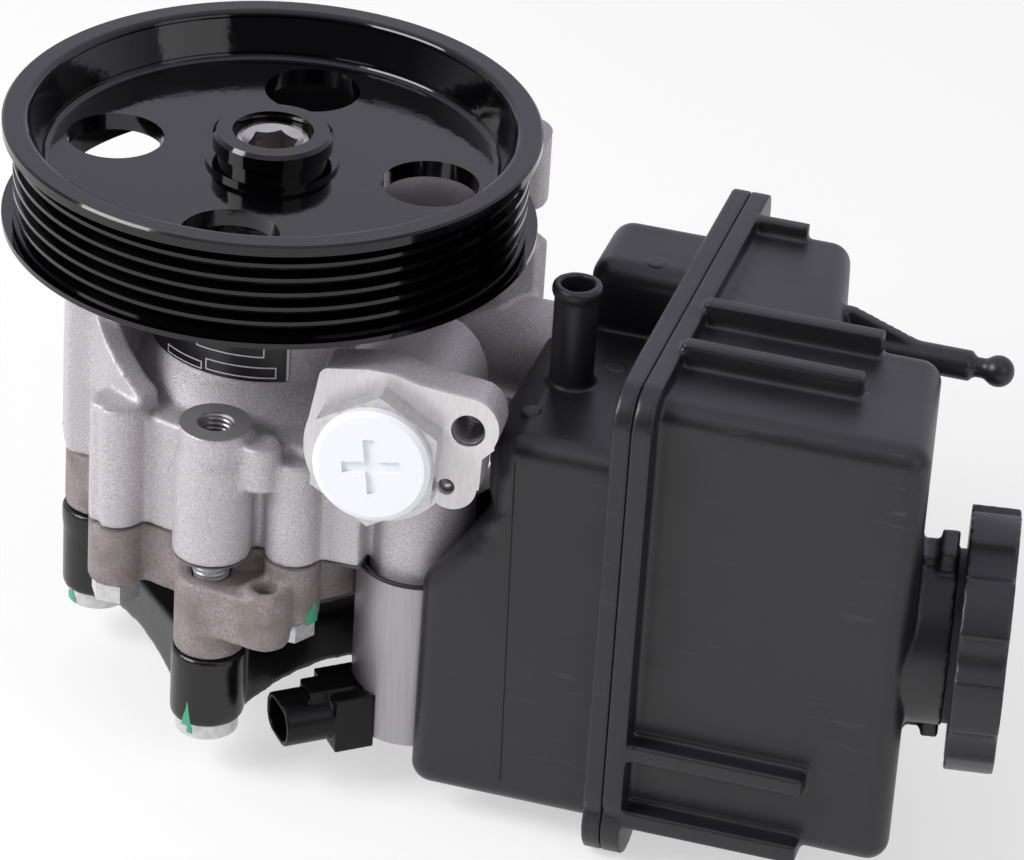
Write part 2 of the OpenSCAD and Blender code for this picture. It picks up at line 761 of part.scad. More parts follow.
module pump_housing() {
    color("#b8b4b6") difference() {
        union() {
            translate([0, 0, shoulder_z - 1]) cylinder(r = neck_r, h = neck_h + 1);
            translate([0, 0, shoulder_z - 1]) cylinder(r1 = neck_r + 8, r2 = neck_r, h = 8);
            translate([0, 0, body_bottom]) cylinder(r = body_r, h = shoulder_z - body_bottom);
            left_arm();
            ear_yoke();
            valve_boss();
            // Corner between the body and the valve boss
            translate([12, -body_r + 2, body_bottom])
                cube([body_r - 16, body_r - 2, shoulder_z - body_bottom]);
            // Columns for the bracket bolts and the cover bolts
            for (p = leg_pos)
                translate([p.x, p.y, body_bottom])
                    cylinder(r = column_r, h = shoulder_z - body_bottom - 3);
            translate([leg_pos[0].x, leg_pos[0].y, shoulder_z - 4])
                cylinder(r = 8.1, h = front_boss_top - shoulder_z + 4);
            for (i = [0:3])
                translate([bolt_pos[i].x, bolt_pos[i].y, body_bottom])
                    cylinder(r = bolt_column_r, h = shoulder_z - body_bottom + column_rise[i]);
            // Short cast boss beside the front column
            translate([0, 0, shoulder_z - 9]) linear_extrude(cast_boss_h)
                round_rect(cast_boss_at - cast_boss_size / 2, cast_boss_at + cast_boss_size / 2, 4.4);
            // Suction port
            translate([neck_r - 8, suction_pos.x, suction_pos.y]) along_x()
                cylinder(r = suction_boss_r, h = suction_boss_x - neck_r + 8);
            // Ear for the reservoir's screw
            translate([lug_pos.x, lug_pos.y, lug_top - lug_t - 12]) cylinder(r = lug_r, h = 12);
            translate([0, 0, lug_top - lug_t - 12]) linear_extrude(9)
                polygon([[body_r - 12, 26], [body_r, 14], [lug_pos.x + 4, lug_pos.y - 5],
                    [lug_pos.x - 4, lug_pos.y + 5]]);
        }
        // Bearing, seal and bush seats
        translate([0, 0, bearing_z]) cylinder(r = bearing_r + press_gap, h = neck_top - bearing_z + cut);
        translate([0, 0, circlip_z - side_gap]) cylinder(r = bearing_r + 1.1, h = circlip_t + 2 * side_gap);
        translate([0, 0, seal_z]) cylinder(r = seal_r, h = bearing_z - seal_z + cut);
        translate([0, 0, chamber_top - cut])
            cylinder(r = journal_r + bush_wall + press_gap, h = seal_z - chamber_top + 2 * cut);
        // Pump chamber
        translate([0, 0, body_bottom - cut]) cylinder(r = chamber_r, h = chamber_top - body_bottom + cut);
        // Screw holes
        for (p = leg_pos)
            translate([p.x, p.y, body_bottom - cut])
                cylinder(r = bracket_bolt_r + press_gap, h = thread_reach + cut);
        for (p = bolt_pos)
            translate([p.x, p.y, body_bottom - cut])
                cylinder(r = cover_bolt_r + press_gap, h = cover_bolt_depth + cut);
        translate([leg_pos[0].x, leg_pos[0].y, front_boss_top - boss_hole_depth])
            cylinder(r = boss_hole_r, h = boss_hole_depth + cut);
        for (s = [-1, 1])
            translate([s * ear_x, ear_y, ear_top - ear_h - cut])
                cylinder(r = ear_hole_r, h = ear_h + 2 * cut);
        translate([lug_pos.x, lug_pos.y, lug_top - lug_t - 10])
            cylinder(r = lug_screw_r + press_gap, h = 10 + cut);
        valve_bores();
        // Groove down the higher column
        rotate([0, 0, bolt_turn[1]]) translate([bolt_ring_r + bolt_column_r + 0.4, 0, body_bottom - cut])
            cylinder(r = 1.5, h = neck_h, $fn = 32);
        // Suction passage
        translate([suction_end - 0.5, suction_pos.x, suction_pos.y]) along_x()
            cylinder(r = spigot_r + 0.1, h = suction_boss_x - suction_end + 1);
        translate([body_r - 4, suction_pos.x, suction_pos.y]) along_x()
            cylinder(r = spigot_r - 3, h = suction_end - body_r + 4);
    }
}

module rating_plate() {
    plate_from = -163;
    plate_sweep = 103;
    plate_t = 0.5;
    color("#1d1c1f") rotate([0, 0, plate_from]) rotate_extrude(angle = plate_sweep)
        translate([neck_r + press_gap, shoulder_z + 7.2]) square([plate_t, neck_h - 12]);
}

// Iron cover with its bolt bosses, leg bosses and the front ear
module rear_cover() {
    ear_at = leg_pos[0] + [14.5, -4.5];
    ear_t = 13;
    pad_h = 1.5;
    color("#857b73") difference() {
        union() {
            translate([0, 0, cover_bottom]) cylinder(r = body_r, h = cover_h);
            for (p = bolt_pos)
                translate([p.x, p.y, cover_bottom]) cylinder(r = bolt_column_r, h = cover_h);
            for (i = [0:2])
                translate([leg_pos[i].x, leg_pos[i].y, boss_bottom + leg_rise[i]])
                    cylinder(r = leg_r - 0.4, h = leg_boss_top - boss_bottom - leg_rise[i]);
            translate([0, 0, leg_boss_top - ear_t]) linear_extrude(ear_t) {
                translate(ear_at) circle(r = 6);
                polygon([leg_pos[0] + [1, -leg_r + 0.4], ear_at + [0.5, -6], ear_at + [3, 5],
                    leg_pos[0] + [4, 9]]);
            }
            translate([ear_at.x, ear_at.y, leg_boss_top - cut]) rotate([0, 0, 12])
                cylinder(r = 5.4, h = pad_h + cut, $fn = 6);
            belly_z = boss_bottom + 6;
            translate([0, 0, belly_z])
                cylinder(r = body_r - 6, h = cover_bottom - belly_z);
        }
        for (p = leg_pos)
            translate([p.x, p.y, boss_bottom - cut])
                cylinder(r = bracket_bolt_r + loose_gap, h = body_bottom - boss_bottom + 2 * cut);
        for (p = bolt_pos)
            translate([p.x, p.y, cover_bottom - cut])
                cylinder(r = cover_bolt_r + loose_gap, h = cover_h + 2 * cut);
        for (p = bolt_pos)
            translate([p.x, p.y, boss_bottom])
                cylinder(r = cover_bolt_af / sqrt(3) + 1, h = cover_bottom - boss_bottom);
        // Shaft end, dowels and seal groove
        translate([0, 0, shaft_bottom - 3])
            cylinder(r = shaft_bore_r, h = body_bottom - shaft_bottom + 3 + cut);
        dowel_places() translate([0, 0, body_bottom - 5.5])
            cylinder(r = dowel_r + press_gap, h = 5.5 + cut);
        translate([0, 0, body_bottom - 2 * seal_wire_r - 0.1])
            ring(seal_ring_r + seal_wire_r + 0.1, seal_ring_r - seal_wire_r - 0.1, 2 * seal_wire_r + cut);
        // Room for the solenoid, and the hole in the front ear
        translate([sol_pos.x, sol_pos.y, boss_bottom - cut])
            cylinder(r = sleeve_r + 0.6, h = body_bottom - boss_bottom + 2 * cut);
        translate([ear_at.x, ear_at.y, leg_boss_top - ear_t - cut])
            cylinder(r = 2.6, h = ear_t + pad_h + 2 * cut);
    }
}

module cover_bolts() {
    color("#bfc0bd")
        for (p = bolt_pos)
            translate([p.x, p.y, cover_bottom]) {
                translate([0, 0, -4.5]) hex(cover_bolt_af, 4.5);
                cylinder(r = cover_bolt_r, h = cover_h + cover_bolt_depth - 1);
            }
}

// Black bracket: three legs, joined by walls with arched feet
module support_bracket() {
    collar = 0.3;
    color("#242427") difference() {
        union() {
            translate([0, 0, leg_bottom]) linear_extrude(leg_h) {
                for (p = leg_pos) translate(p) circle(r = leg_r);
                for (i = [0:2])
                    bracket_wall(i) translate([0, -web_wall / 2]) square([wall_span(i), web_wall]);
            }
            for (i = [0:2]) if (leg_rise[i] > 0)
                translate([leg_pos[i].x, leg_pos[i].y, boss_bottom - 1])
                    cylinder(r = leg_r + collar, h = leg_rise[i] + 1);
        }
        for (i = [0:2])
            translate([leg_pos[i].x, leg_pos[i].y, leg_bottom - cut])
                cylinder(r = bracket_bolt_r + loose_gap, h = leg_h + leg_rise[i] + 2 * cut);
        for (i = [0:2])
            translate([0, 0, leg_bottom + arch_rise - arch_r(i)]) bracket_wall(i)
                translate([wall_span(i) / 2, 0, 0]) rotate([90, 0, 0])
                    cylinder(r = arch_r(i), h = web_wall + 2 * cut, center = true);
    }
}

module bracket_bolts() {
    color("#c6c6c9")
        for (p = leg_pos)
            translate([p.x, p.y, leg_bottom - bracket_head_h]) difference() {
                union() {
                    cylinder(r = bracket_head_r, h = bracket_head_h);
                    cylinder(r = bracket_bolt_r,
                        h = bracket_head_h + body_bottom - leg_bottom + thread_reach - 1);
                }
                translate([0, 0, -cut]) hex(5, 1.8 + cut);
            }
}

module outlet_fitting() {
    color("#9ea19c") at_outlet() difference() {
        union() {
            rotate([0, 0, 28]) hex(fitting_af, fitting_h);
            translate([0, 0, -thread_depth]) cylinder(r = thread_r, h = thread_depth);
        }
        translate([0, 0, -thread_depth - cut])
            cylinder(r = outlet_bore_r, h = thread_depth + fitting_h + 2 * cut);
    }
}

module dust_plug() {
    slot_w = 2.6;
    slot_l = 13;
    color("#f2f3f8") at_outlet() difference() {
        union() {
            translate([0, 0, fitting_h]) cylinder(r = plug_r, h = plug_h - 0.8);
            translate([0, 0, fitting_h + plug_h - 0.8]) cylinder(r1 = plug_r, r2 = plug_r - 1.2, h = 0.8);
            translate([0, 0, fitting_h - 9]) cylinder(r = outlet_bore_r - side_gap, h = 9 + cut);
        }
        for (a = [8, 98])
            rotate([0, 0, a]) translate([-slot_l / 2, -slot_w / 2, fitting_h + plug_h - 0.9])
                cube([slot_l, slot_w, 2]);
    }
}

module valve_spool() {
    body = spool_r - run_gap;
    color("#aeb0b3") at_outlet() rotate_extrude() polygon([
        [2.5, -spool_start], [body - 1.5, -spool_start], [body, -spool_start - 1], [body, -spool_start - 6],
        [body - 2, -spool_start - 6.5], [body - 2, -spool_start - 9.5], [body, -spool_start - 10],
        [body, -spool_start - spool_len], [2.5, -spool_start - spool_len]]);
}

// One round wire along a helix about Z, as a closed tube
module helix_wire(r, wire, height, turns, sides = 8, steps = 16) {
    rings = turns * steps;
    points = [for (i = [0:rings], k = [0:sides - 1])
        let (t = i * 360 / steps, a = k * 360 / sides)
        [(r + wire * cos(a)) * cos(t), (r + wire * cos(a)) * sin(t), height * i / rings + wire * sin(a)]];
    walls = [for (i = [0:rings - 1], k = [0:sides - 1])
        [i * sides + k, i * sides + (k + 1) % sides, (i + 1) * sides + (k + 1) % sides,
            (i + 1) * sides + k]];
    first = [for (k = [0:sides - 1]) sides - 1 - k];
    last = [for (k = [0:sides - 1]) rings * sides + k];
    polyhedron(points = points, faces = concat([first], [last], walls));
}

module valve_spring() {
    color("#7f8184") at_outlet()
        translate([0, 0, -spring_start - spring_len + spring_wire_r + run_gap])
            helix_wire(spring_r, spring_wire_r, spring_len - 2 * spring_wire_r - 2 * run_gap, spring_turns);
}

module solenoid_sleeve() {
    color("#a9a5a8") difference() {
        translate([sol_pos.x, sol_pos.y, sol_bottom]) difference() {
            cylinder(r = sleeve_r, h = sleeve_h);
            translate([0, 0, sleeve_wall]) cylinder(r = sleeve_r - sleeve_wall, h = sleeve_h);
        }
        at_connector() translate([0, -tongue_w / 2 - 0.2, -0.2])
            cube([sleeve_r + 5, tongue_w + 0.4, tongue_w + 0.4]);
    }
}

module solenoid_coil() {
    color("#8a5a33") translate([sol_pos.x, sol_pos.y, sol_bottom + sleeve_wall]) difference() {
        cylinder(r = coil_r, h = coil_h);
        translate([0, 0, 2]) cylinder(r = plunger_r + run_gap, h = coil_h);
    }
}

module solenoid_plunger() {
    color("#b4b5b7") translate([sol_pos.x, sol_pos.y, sol_bottom + sleeve_wall + 2 + run_gap]) {
        cylinder(r = plunger_r, h = plunger_h);
        cylinder(r = 1.5, h = plunger_h + 1.5);
    }
}

module solenoid_seal() {
    color("#2a2523") translate([sol_pos.x, sol_pos.y, sol_top - 2.2]) round_ring(sol_seal_r, 0.78);
}

// Connector moulding: tongue through the sleeve, block and open barrel
module solenoid_connector() {
    socket_w = barrel_w - 2 * barrel_wall;
    socket_h = barrel_h - 2 * barrel_wall;
    side_flat = 0.5;
    latch_w = 7;
    color("#111112") difference() {
        at_connector() difference() {
            union() {
                translate([coil_r + 0.1, -tongue_w / 2, 0]) cube([4, tongue_w, tongue_w]);
                translate([8, -block_w / 2, -block_h / 2]) cube([block_reach - 8, block_w, block_h]);
                translate([block_reach - 2, 0, 0]) rotate([90, 0, 90])
                    linear_extrude(barrel_reach - block_reach + 2)
                        round_rect([-barrel_w, -barrel_h] / 2, [barrel_w, barrel_h] / 2,
                            barrel_h / 2 - side_flat);
                // Latch on top
                translate([block_reach - 6, -latch_w / 2, 0]) cube([11, latch_w, barrel_h / 2 + 2.6]);
            }
            translate([barrel_reach - socket_depth, 0, 0]) rotate([90, 0, 90])
                linear_extrude(socket_depth + cut)
                round_rect([-socket_w, -socket_h] / 2, [socket_w, socket_h] / 2, socket_h / 2 - side_flat);
        }
        difference() {
            translate([sol_pos.x, sol_pos.y, sol_bottom - 10])
                cylinder(r = sleeve_r + press_gap, h = sleeve_h);
            at_connector() translate([coil_r + 0.1, -tongue_w / 2, 0]) cube([4, tongue_w, tongue_w]);
        }
    }
}

module connector_pins() {
    color("#c9b27a") at_connector()
        for (s = [-1, 1])
            translate([barrel_reach - socket_depth, s * 2.5, 0]) along_x()
                cylinder(r = pin_r, h = pin_len, $fn = 24);
}

// Half of the welded flange: a plate across X, with the lobe at its front foot
module flange_plate(x0, t) {
    back = [flange_back, flange_top];
    translate([x0, 0, 0]) rotate([90, 0, 90]) linear_extrude(t) {
        round_rect([flange_front, flange_bottom], back, flange_corner_r);
        round_rect(back - 2 * [flange_corner_r, flange_corner_r], back, back_corner_r);
        translate([flange_front + lobe_r, flange_bottom + 0.6]) circle(r = lobe_r);
    }
}

// Space beyond the weld, for trimming either half
module beyond_weld(side) {
    reach = 2 * flange_h;
    translate([weld_x + (side - 1) * reach / 2, -reach / 2, flange_bottom - reach / 4]) cube(reach);
}

// Scallop in the left half that lets the outlet's face pass
module outlet_scallop(more = 0) {
    lobe = flange_lobe_r + 1.5 + more;
    depth = face_depth + part_gap + more;
    at_outlet() translate([flange_lobe_at.x, flange_lobe_at.y, -depth]) cylinder(r = lobe, h = 2 * depth);
}

module reservoir_left() {
    r = tank_corner_r;
    w = tank_wall;
    half = flange_t / 2;
    color("#403c40") difference() {
        union() {
            flange_plate(weld_x - half, flange_t);
            // Lower chamber, with its shoulder under the outlet
            hull()
                for (y = [tank_front - 1 + r, lower_back - r],
                     p = [[lower_x + r, lower_bottom + r], [lower_x + r, slope_low - r],
                          [upper_x + r, slope_high - r], [weld_x + r, slope_high - r],
                          [weld_x + r, lower_bottom + r]])
                    translate([p.x, y, p.y]) sphere(r = r, $fn = block_fn);
            soft_block([upper_x, tank_front + 2, slope_high - 20],
                [weld_x + 2 * r, tank_step_y + 4, upper_top], r);
            soft_block([back_x, tank_step_y, back_bottom], [weld_x + 2 * r, left_back, tank_top], r);
            // Return nipple
            translate([nipple_pos.x, nipple_pos.y, upper_top - w])
                cylinder(r = nipple_r, h = nipple_len + w);
            translate([nipple_pos.x, nipple_pos.y, upper_top + nipple_len - 2.4])
                cylinder(r = nipple_r + 0.65, h = 2);
            // Suction spigot
            difference() {
                translate([suction_end, suction_pos.x, suction_pos.y]) along_x()
                    cylinder(r = spigot_r, h = back_x - suction_end + w);
                translate([suction_seal_x - 1, suction_pos.x, suction_pos.y]) along_x()
                    ring(spigot_r + 1, spigot_r - 1.2, 2);
            }
            // Lug for the screw
            translate([0, 0, lug_top - lug_t]) linear_extrude(lug_t) {
                translate(lug_pos) circle(r = lug_r);
                translate([lug_pos.x, lug_pos.y - lug_r])
                    square([weld_x - half - lug_pos.x + cut, 2 * lug_r]);
            }
        }
        beyond_weld(1);
        // Chambers
        difference() {
            union() {
                translate([lower_x + w, tank_front - 1 + w, lower_bottom + w])
                    cube([weld_x - lower_x, lower_back - tank_front + 1 - 2 * w,
                        slope_low - lower_bottom - 2 * w]);
                translate([upper_x + w, tank_front + 2 + w, slope_low - 20])
                    cube([weld_x - upper_x, tank_step_y + 4 - tank_front - 2 - 2 * w,
                        upper_top - slope_low + 20 - w]);
                translate([back_x + w, tank_step_y + w, back_bottom + w])
                    cube([weld_x - back_x, left_back - tank_step_y - 2 * w,
                        tank_top - back_bottom - 2 * w]);
            }
            translate([sol_pos.x, sol_pos.y, lower_bottom])
                cylinder(r = sleeve_r + part_gap + w, h = upper_top - lower_bottom);
            outlet_scallop(w);
        }
        outlet_scallop();
        // Pocket round the solenoid
        translate([sol_pos.x, sol_pos.y, lower_bottom - cut])
            cylinder(r = sleeve_r + part_gap, h = upper_top - lower_bottom);
        translate([nipple_pos.x, nipple_pos.y, upper_top - 2 * w])
            cylinder(r = nipple_bore_r, h = nipple_len + 3 * w);
        translate([suction_end - cut, suction_pos.x, suction_pos.y]) along_x()
            cylinder(r = spigot_r - 2.5, h = back_x - suction_end + 2 * w);
        translate([lug_pos.x, lug_pos.y, lug_top - lug_t - cut])
            cylinder(r = lug_screw_r + loose_gap, h = lug_t + 2 * cut);
    }
}

module reservoir_right() {
    r = tank_corner_r;
    w = tank_wall;
    half = flange_t / 2;
    slant = tan(filler_yaw);
    depth = right_step_y - tank_front;
    rail_x = weld_x + half;
    color("#403c40") difference() {
        union() {
            flange_plate(weld_x - half, flange_t);
            soft_prism([[weld_x - r, tank_front + r], [corner_x - r, tank_front + r],
                        [corner_x - r - (depth - 2 * r) * slant, right_step_y - r],
                        [weld_x - r, right_step_y - r]],
                       tank_bottom, tank_top, r);
            soft_prism([[weld_x - r, tank_front + 2 * r], [wing_x - r, tank_front + 2 * r],
                        [wing_back_x - r, tank_back - r], [weld_x - r, tank_back - r]],
                       back_bottom, tank_top, r);
            // Rails on the top, and the short rib behind them
            for (y = rail_y)
                translate([rail_x - cut, y - rail_t / 2, tank_top - 1])
                    cube([rail_len + cut, rail_t, rail_h + 1]);
            translate([rail_x - cut, tank_back - 6, tank_top - 1])
                cube([12 + cut, 3, flange_top - tank_top + 1]);
            // Rails on the front
            for (z = front_rail_z)
                translate([rail_x - cut, tank_front - 5, z - front_rail_t / 2])
                    cube([rail_len + cut, 6.4, front_rail_t]);
            // Rod with its ball
            translate([rod_root_x, rod_pos.x, rod_pos.y]) along_x()
                cylinder(r = rod_r, h = rod_end_x - rod_root_x - 6);
            translate([rod_end_x - 7, rod_pos.x, rod_pos.y]) along_x() cylinder(r = rod_r * 0.66, h = 6);
            translate([rod_end_x, rod_pos.x, rod_pos.y]) sphere(r = ball_end_r, $fn = 48);
            translate([rod_root_x, rod_pos.x - 1.5, rod_pos.y]) rotate([90, 0, 0]) translate([0, 0, -3])
                linear_extrude(3) polygon([[0, -12], [0, 9], [12, 9], [34, 1], [34, -1], [16, -9]]);
            // Filler neck with its two bayonet lugs and fins
            at_filler() translate([0, 0, -w]) cylinder(r = filler_r, h = filler_len + w);
            at_filler() for (s = [0, 180])
                rotate([0, 0, s]) {
                    translate([filler_r - 1.5, -4.5, -1]) cube([3.6, 9, filler_len - 2]);
                    translate([filler_r - 1.5, -5.5, filler_len - 4.4]) cube([5.6, 11, 4]);
                }
        }
        beyond_weld(-1);
        // Chambers
        translate([0, 0, tank_bottom + w]) linear_extrude(tank_top - tank_bottom - 2 * w)
            polygon([[weld_x - cut, tank_front + w], [corner_x - w * 1.2, tank_front + w],
                     [corner_x - w * 1.2 - (depth - 2 * w) * slant, right_step_y - w], [weld_x - cut,
                         right_step_y - w]]);
        translate([0, 0, back_bottom + w]) linear_extrude(tank_top - back_bottom - 2 * w)
            polygon([[weld_x - cut, 0], [wing_back_x + w, 0],
                     [wing_back_x - w, tank_back - w], [weld_x - cut, tank_back - w]]);
        at_filler() translate([0, 0, -3 * w]) cylinder(r = filler_bore_r, h = filler_len + 4 * w);
    }
}

// Strainer cup over the suction opening inside the left half
module filter_screen() {
    cup_r = spigot_r + 0.7;
    cup_h = 14;
    color("#d8d2b8") translate([back_x + tank_wall, suction_pos.x, suction_pos.y]) along_x() difference() {
        cylinder(r = cup_r, h = cup_h);
        translate([0, 0, -cut]) cylinder(r = cup_r - 1.2, h = cup_h - 1.2 + cut);
        for (a = [0:60:300])
            rotate([0, 0, a]) translate([cup_r - 3, -3.2, 2]) cube([6, 6.4, cup_h - 5]);
    }
}

module suction_seal() {
    color("#1a1a1b") translate([suction_seal_x, suction_pos.x, suction_pos.y]) along_x()
        round_ring(spigot_r - 1.2 + suction_wire_r + side_gap, suction_wire_r);
}

module reservoir_screw() {
    color("#c6c6c9") translate([lug_pos.x, lug_pos.y, lug_top]) difference() {
        union() {
            cylinder(r = 5, h = 4);
            translate([0, 0, -lug_t - 9]) cylinder(r = lug_screw_r, h = lug_t + 9);
        }
        translate([0, 0, 1.8]) hex(5, 3);
    }
}

module filler_cap() {
    grip_r = 7;
    color("#444044") at_filler() translate([0, 0, cap_base]) {
        difference() {
            cylinder(r = cap_r, h = cap_h);
            for (i = [0:cap_grips - 1])
                rotate([0, 0, (i + 0.5) * 360 / cap_grips])
                    translate([cap_r + grip_r - 2.6, 0, -cut]) cylinder(r = grip_r, h = cap_h + 2 * cut);
            translate([0, 0, cap_h - 1.5]) ring(cap_r - 5, cap_r - 7, 2);
        }
        translate([0, 0, -cap_spigot_h]) ring(cap_spigot_r, cap_spigot_r - 2.5, cap_spigot_h);
        translate([0, 0, -cap_spigot_h]) ring(5, 3 + press_gap, cap_spigot_h);
    }
}

module cap_gasket() {
    color("#1c1c1d") at_filler() translate([0, 0, filler_len])
        ring(filler_r - 0.5, filler_bore_r + 0.2, gasket_t);
}

module dipstick() {
    blade_w = 6;
    blade_t = 1.6;
    color("#d9d6cf") at_filler() translate([0, 0, cap_base]) {
        translate([0, 0, -cap_spigot_h - 1]) cylinder(r = 3, h = cap_spigot_h + 1);
        translate([-blade_w / 2, -blade_t / 2, -dipstick_len])
            cube([blade_w, blade_t, dipstick_len - cap_spigot_h]);
    }
}

pulley();
pulley_hub();
drive_shaft();
rotor();
vane(1);  // vane_1
vane(2);  // vane_2
vane(3);  // vane_3
vane(4);  // vane_4
vane(5);  // vane_5
vane(6);  // vane_6
vane(7);  // vane_7
vane(8);  // vane_8
vane(9);  // vane_9
vane(10);  // vane_10
rotor_ring();
bearing_inner_race();
bearing_balls();
bearing_outer_race();
bearing_circlip();
shaft_seal();
shaft_bush();
front_plate();
cam_ring();
pressure_plate();
dowel_pins();
cover_seal();
pump_housing();
rating_plate();
rear_cover();
cover_bolts();
support_bracket();
bracket_bolts();
outlet_fitting();
dust_plug();
valve_spool();
valve_spring();
solenoid_sleeve();
solenoid_coil();
solenoid_plunger();
solenoid_seal();
solenoid_connector();
connector_pins();
reservoir_left();
reservoir_right();
filter_screen();
suction_seal();
reservoir_screw();
filler_cap();
cap_gasket();
dipstick();
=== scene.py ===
import json
import math

import bmesh
import bpy
import numpy as np
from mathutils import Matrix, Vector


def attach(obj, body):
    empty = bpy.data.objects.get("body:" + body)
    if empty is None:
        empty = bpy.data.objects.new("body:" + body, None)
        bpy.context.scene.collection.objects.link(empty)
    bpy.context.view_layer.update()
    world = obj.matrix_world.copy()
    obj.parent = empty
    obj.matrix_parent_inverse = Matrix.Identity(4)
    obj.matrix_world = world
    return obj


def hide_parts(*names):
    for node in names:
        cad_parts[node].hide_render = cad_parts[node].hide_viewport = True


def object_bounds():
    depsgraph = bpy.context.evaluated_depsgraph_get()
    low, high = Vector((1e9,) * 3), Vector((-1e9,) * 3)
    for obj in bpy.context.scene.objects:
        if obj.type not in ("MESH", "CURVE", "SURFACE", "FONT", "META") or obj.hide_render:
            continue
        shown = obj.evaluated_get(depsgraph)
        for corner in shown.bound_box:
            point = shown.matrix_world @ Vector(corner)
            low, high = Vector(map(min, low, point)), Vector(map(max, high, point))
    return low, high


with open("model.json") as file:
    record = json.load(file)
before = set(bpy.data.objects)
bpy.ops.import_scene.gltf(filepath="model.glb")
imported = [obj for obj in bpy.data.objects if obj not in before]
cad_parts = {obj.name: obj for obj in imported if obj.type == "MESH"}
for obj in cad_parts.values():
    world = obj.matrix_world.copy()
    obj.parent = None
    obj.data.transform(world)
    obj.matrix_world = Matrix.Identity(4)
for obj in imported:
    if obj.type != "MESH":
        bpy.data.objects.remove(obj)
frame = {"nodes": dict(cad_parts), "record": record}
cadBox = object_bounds()
nodes = frame["nodes"]
bodyOf = {node: body for body, members in frame["record"]["behaviour"]["bodies"].items() for node in members}
mm = 0.001
print("frame loaded:", len(nodes), "nodes")


# sRGB hex to the linear colour that shaders take
def srgb(hexText):
    parts = [int(hexText[i:i + 2], 16) / 255 for i in (1, 3, 5)]
    linear = [c / 12.92 if c <= 0.04045 else ((c + 0.055) / 1.055) ** 2.4 for c in parts]
    return (*linear, 1.0)


# Adds one node: settings are its properties, links feed its inputs by name or number
def addNode(tree, kind, links=None, **settings):
    made = tree.nodes.new(kind)
    for name, value in settings.items():
        setattr(made, name, value)
    for key, value in (links or {}).items():
        if isinstance(value, bpy.types.NodeSocket):
            tree.links.new(value, made.inputs[key])
        else:
            made.inputs[key].default_value = value
    return made


# A material with its shader and the object's own coordinates, ready for patterns
def startMaterial(name, color, roughness, **shaderInputs):
    material = bpy.data.materials.new(name)
    material.use_nodes = True
    tree = material.node_tree
    tree.nodes.clear()
    shader = addNode(tree, "ShaderNodeBsdfPrincipled", {"Base Color": srgb(color), "Roughness": roughness})
    for key, value in shaderInputs.items():
        shader.inputs[key.replace("_", " ")].default_value = value
    addNode(tree, "ShaderNodeOutputMaterial", {"Surface": shader.outputs[0]})
    place = addNode(tree, "ShaderNodeTexCoord").outputs["Object"]
    return material, tree, shader, place


# Links patterns to the inputs of a material's shader
def feedShader(tree, shader, patterns):
    for key, socket in patterns.items():
        tree.links.new(socket, shader.inputs[key])


# Noise of a real size in mm, spread over 0 to 1 between two of its levels
def speckle(tree, place, size, low=0.3, high=0.7, detail=3.0):
    noise = addNode(tree, "ShaderNodeTexNoise", {"Vector": place, "Scale": 1 / (size * mm), "Detail": detail})
    levels = {"Value": noise.outputs[0], "From Min": low, "From Max": high}
    return addNode(tree, "ShaderNodeMapRange", levels).outputs[0]


# Puts one finish on CAD nodes
def wear(material, *names):
    for name in names:
        slots = nodes[name].data.materials
        slots.clear()
        slots.append(material)


# The photograph's camera, from its own pixels: angles in degrees, focal length in pixels, sizes in mm
cameraView = {
    "azimuth": 14.527,
    "elevation": 30.401,
    "roll": 3.718,
    "focalPixels": 5002.85,
    "distance": 1117.81,
    "offset": (-53.262, 69.747),
    "aimHeight": 13.16,
    "imageWidth": 1024,
    "sensor": 36.0,
    "clipEnd": 50000.0,
}


def makeCamera(view):
    az, el, roll = (math.radians(view[k]) for k in ("azimuth", "elevation", "roll"))
    back = np.array([math.sin(az) * math.cos(el), -math.cos(az) * math.cos(el), math.sin(el)])
    right = np.array([math.cos(az), math.sin(az), 0])
    up = np.cross(back, right)
    turned = np.array([
        math.cos(roll) * right + math.sin(roll) * up,
        math.cos(roll) * up - math.sin(roll) * right,
        back,
    ])
    eye = turned.T @ np.array([-view["offset"][0], -view["offset"][1], view["distance"]])
    eye[2] += view["aimHeight"]
    matrix = np.eye(4)
    matrix[:3, :3] = turned.T
    matrix[:3, 3] = eye * mm
    data = bpy.data.cameras.new("photoCamera")
    data.sensor_width = view["sensor"]
    data.lens = view["focalPixels"] * view["sensor"] / view["imageWidth"]
    data.clip_end = view["clipEnd"] * mm
    camera = bpy.data.objects.new("photoCamera", data)
    camera.matrix_world = matrix.T.tolist()
    bpy.context.scene.collection.objects.link(camera)
    bpy.context.scene.camera = camera


makeCamera(cameraView)
print("camera set")


# Stoved enamel on spun steel: deep black gloss with a slight orange peel
def stovedEnamel():
    material, tree, shader, place = startMaterial("stovedEnamel", "#040405", 0.1)
    cloud = speckle(tree, place, 14.0)
    peel = speckle(tree, place, 2.2, detail=1.0)
    rough = addNode(tree, "ShaderNodeMapRange", {"Value": cloud, "To Min": 0.06, "To Max": 0.13}).outputs[0]
    bump = addNode(tree, "ShaderNodeBump", {"Height": peel, "Distance": 0.01 * mm}).outputs[0]
    feedShader(tree, shader, {"Roughness": rough, "Normal": bump})
    return material


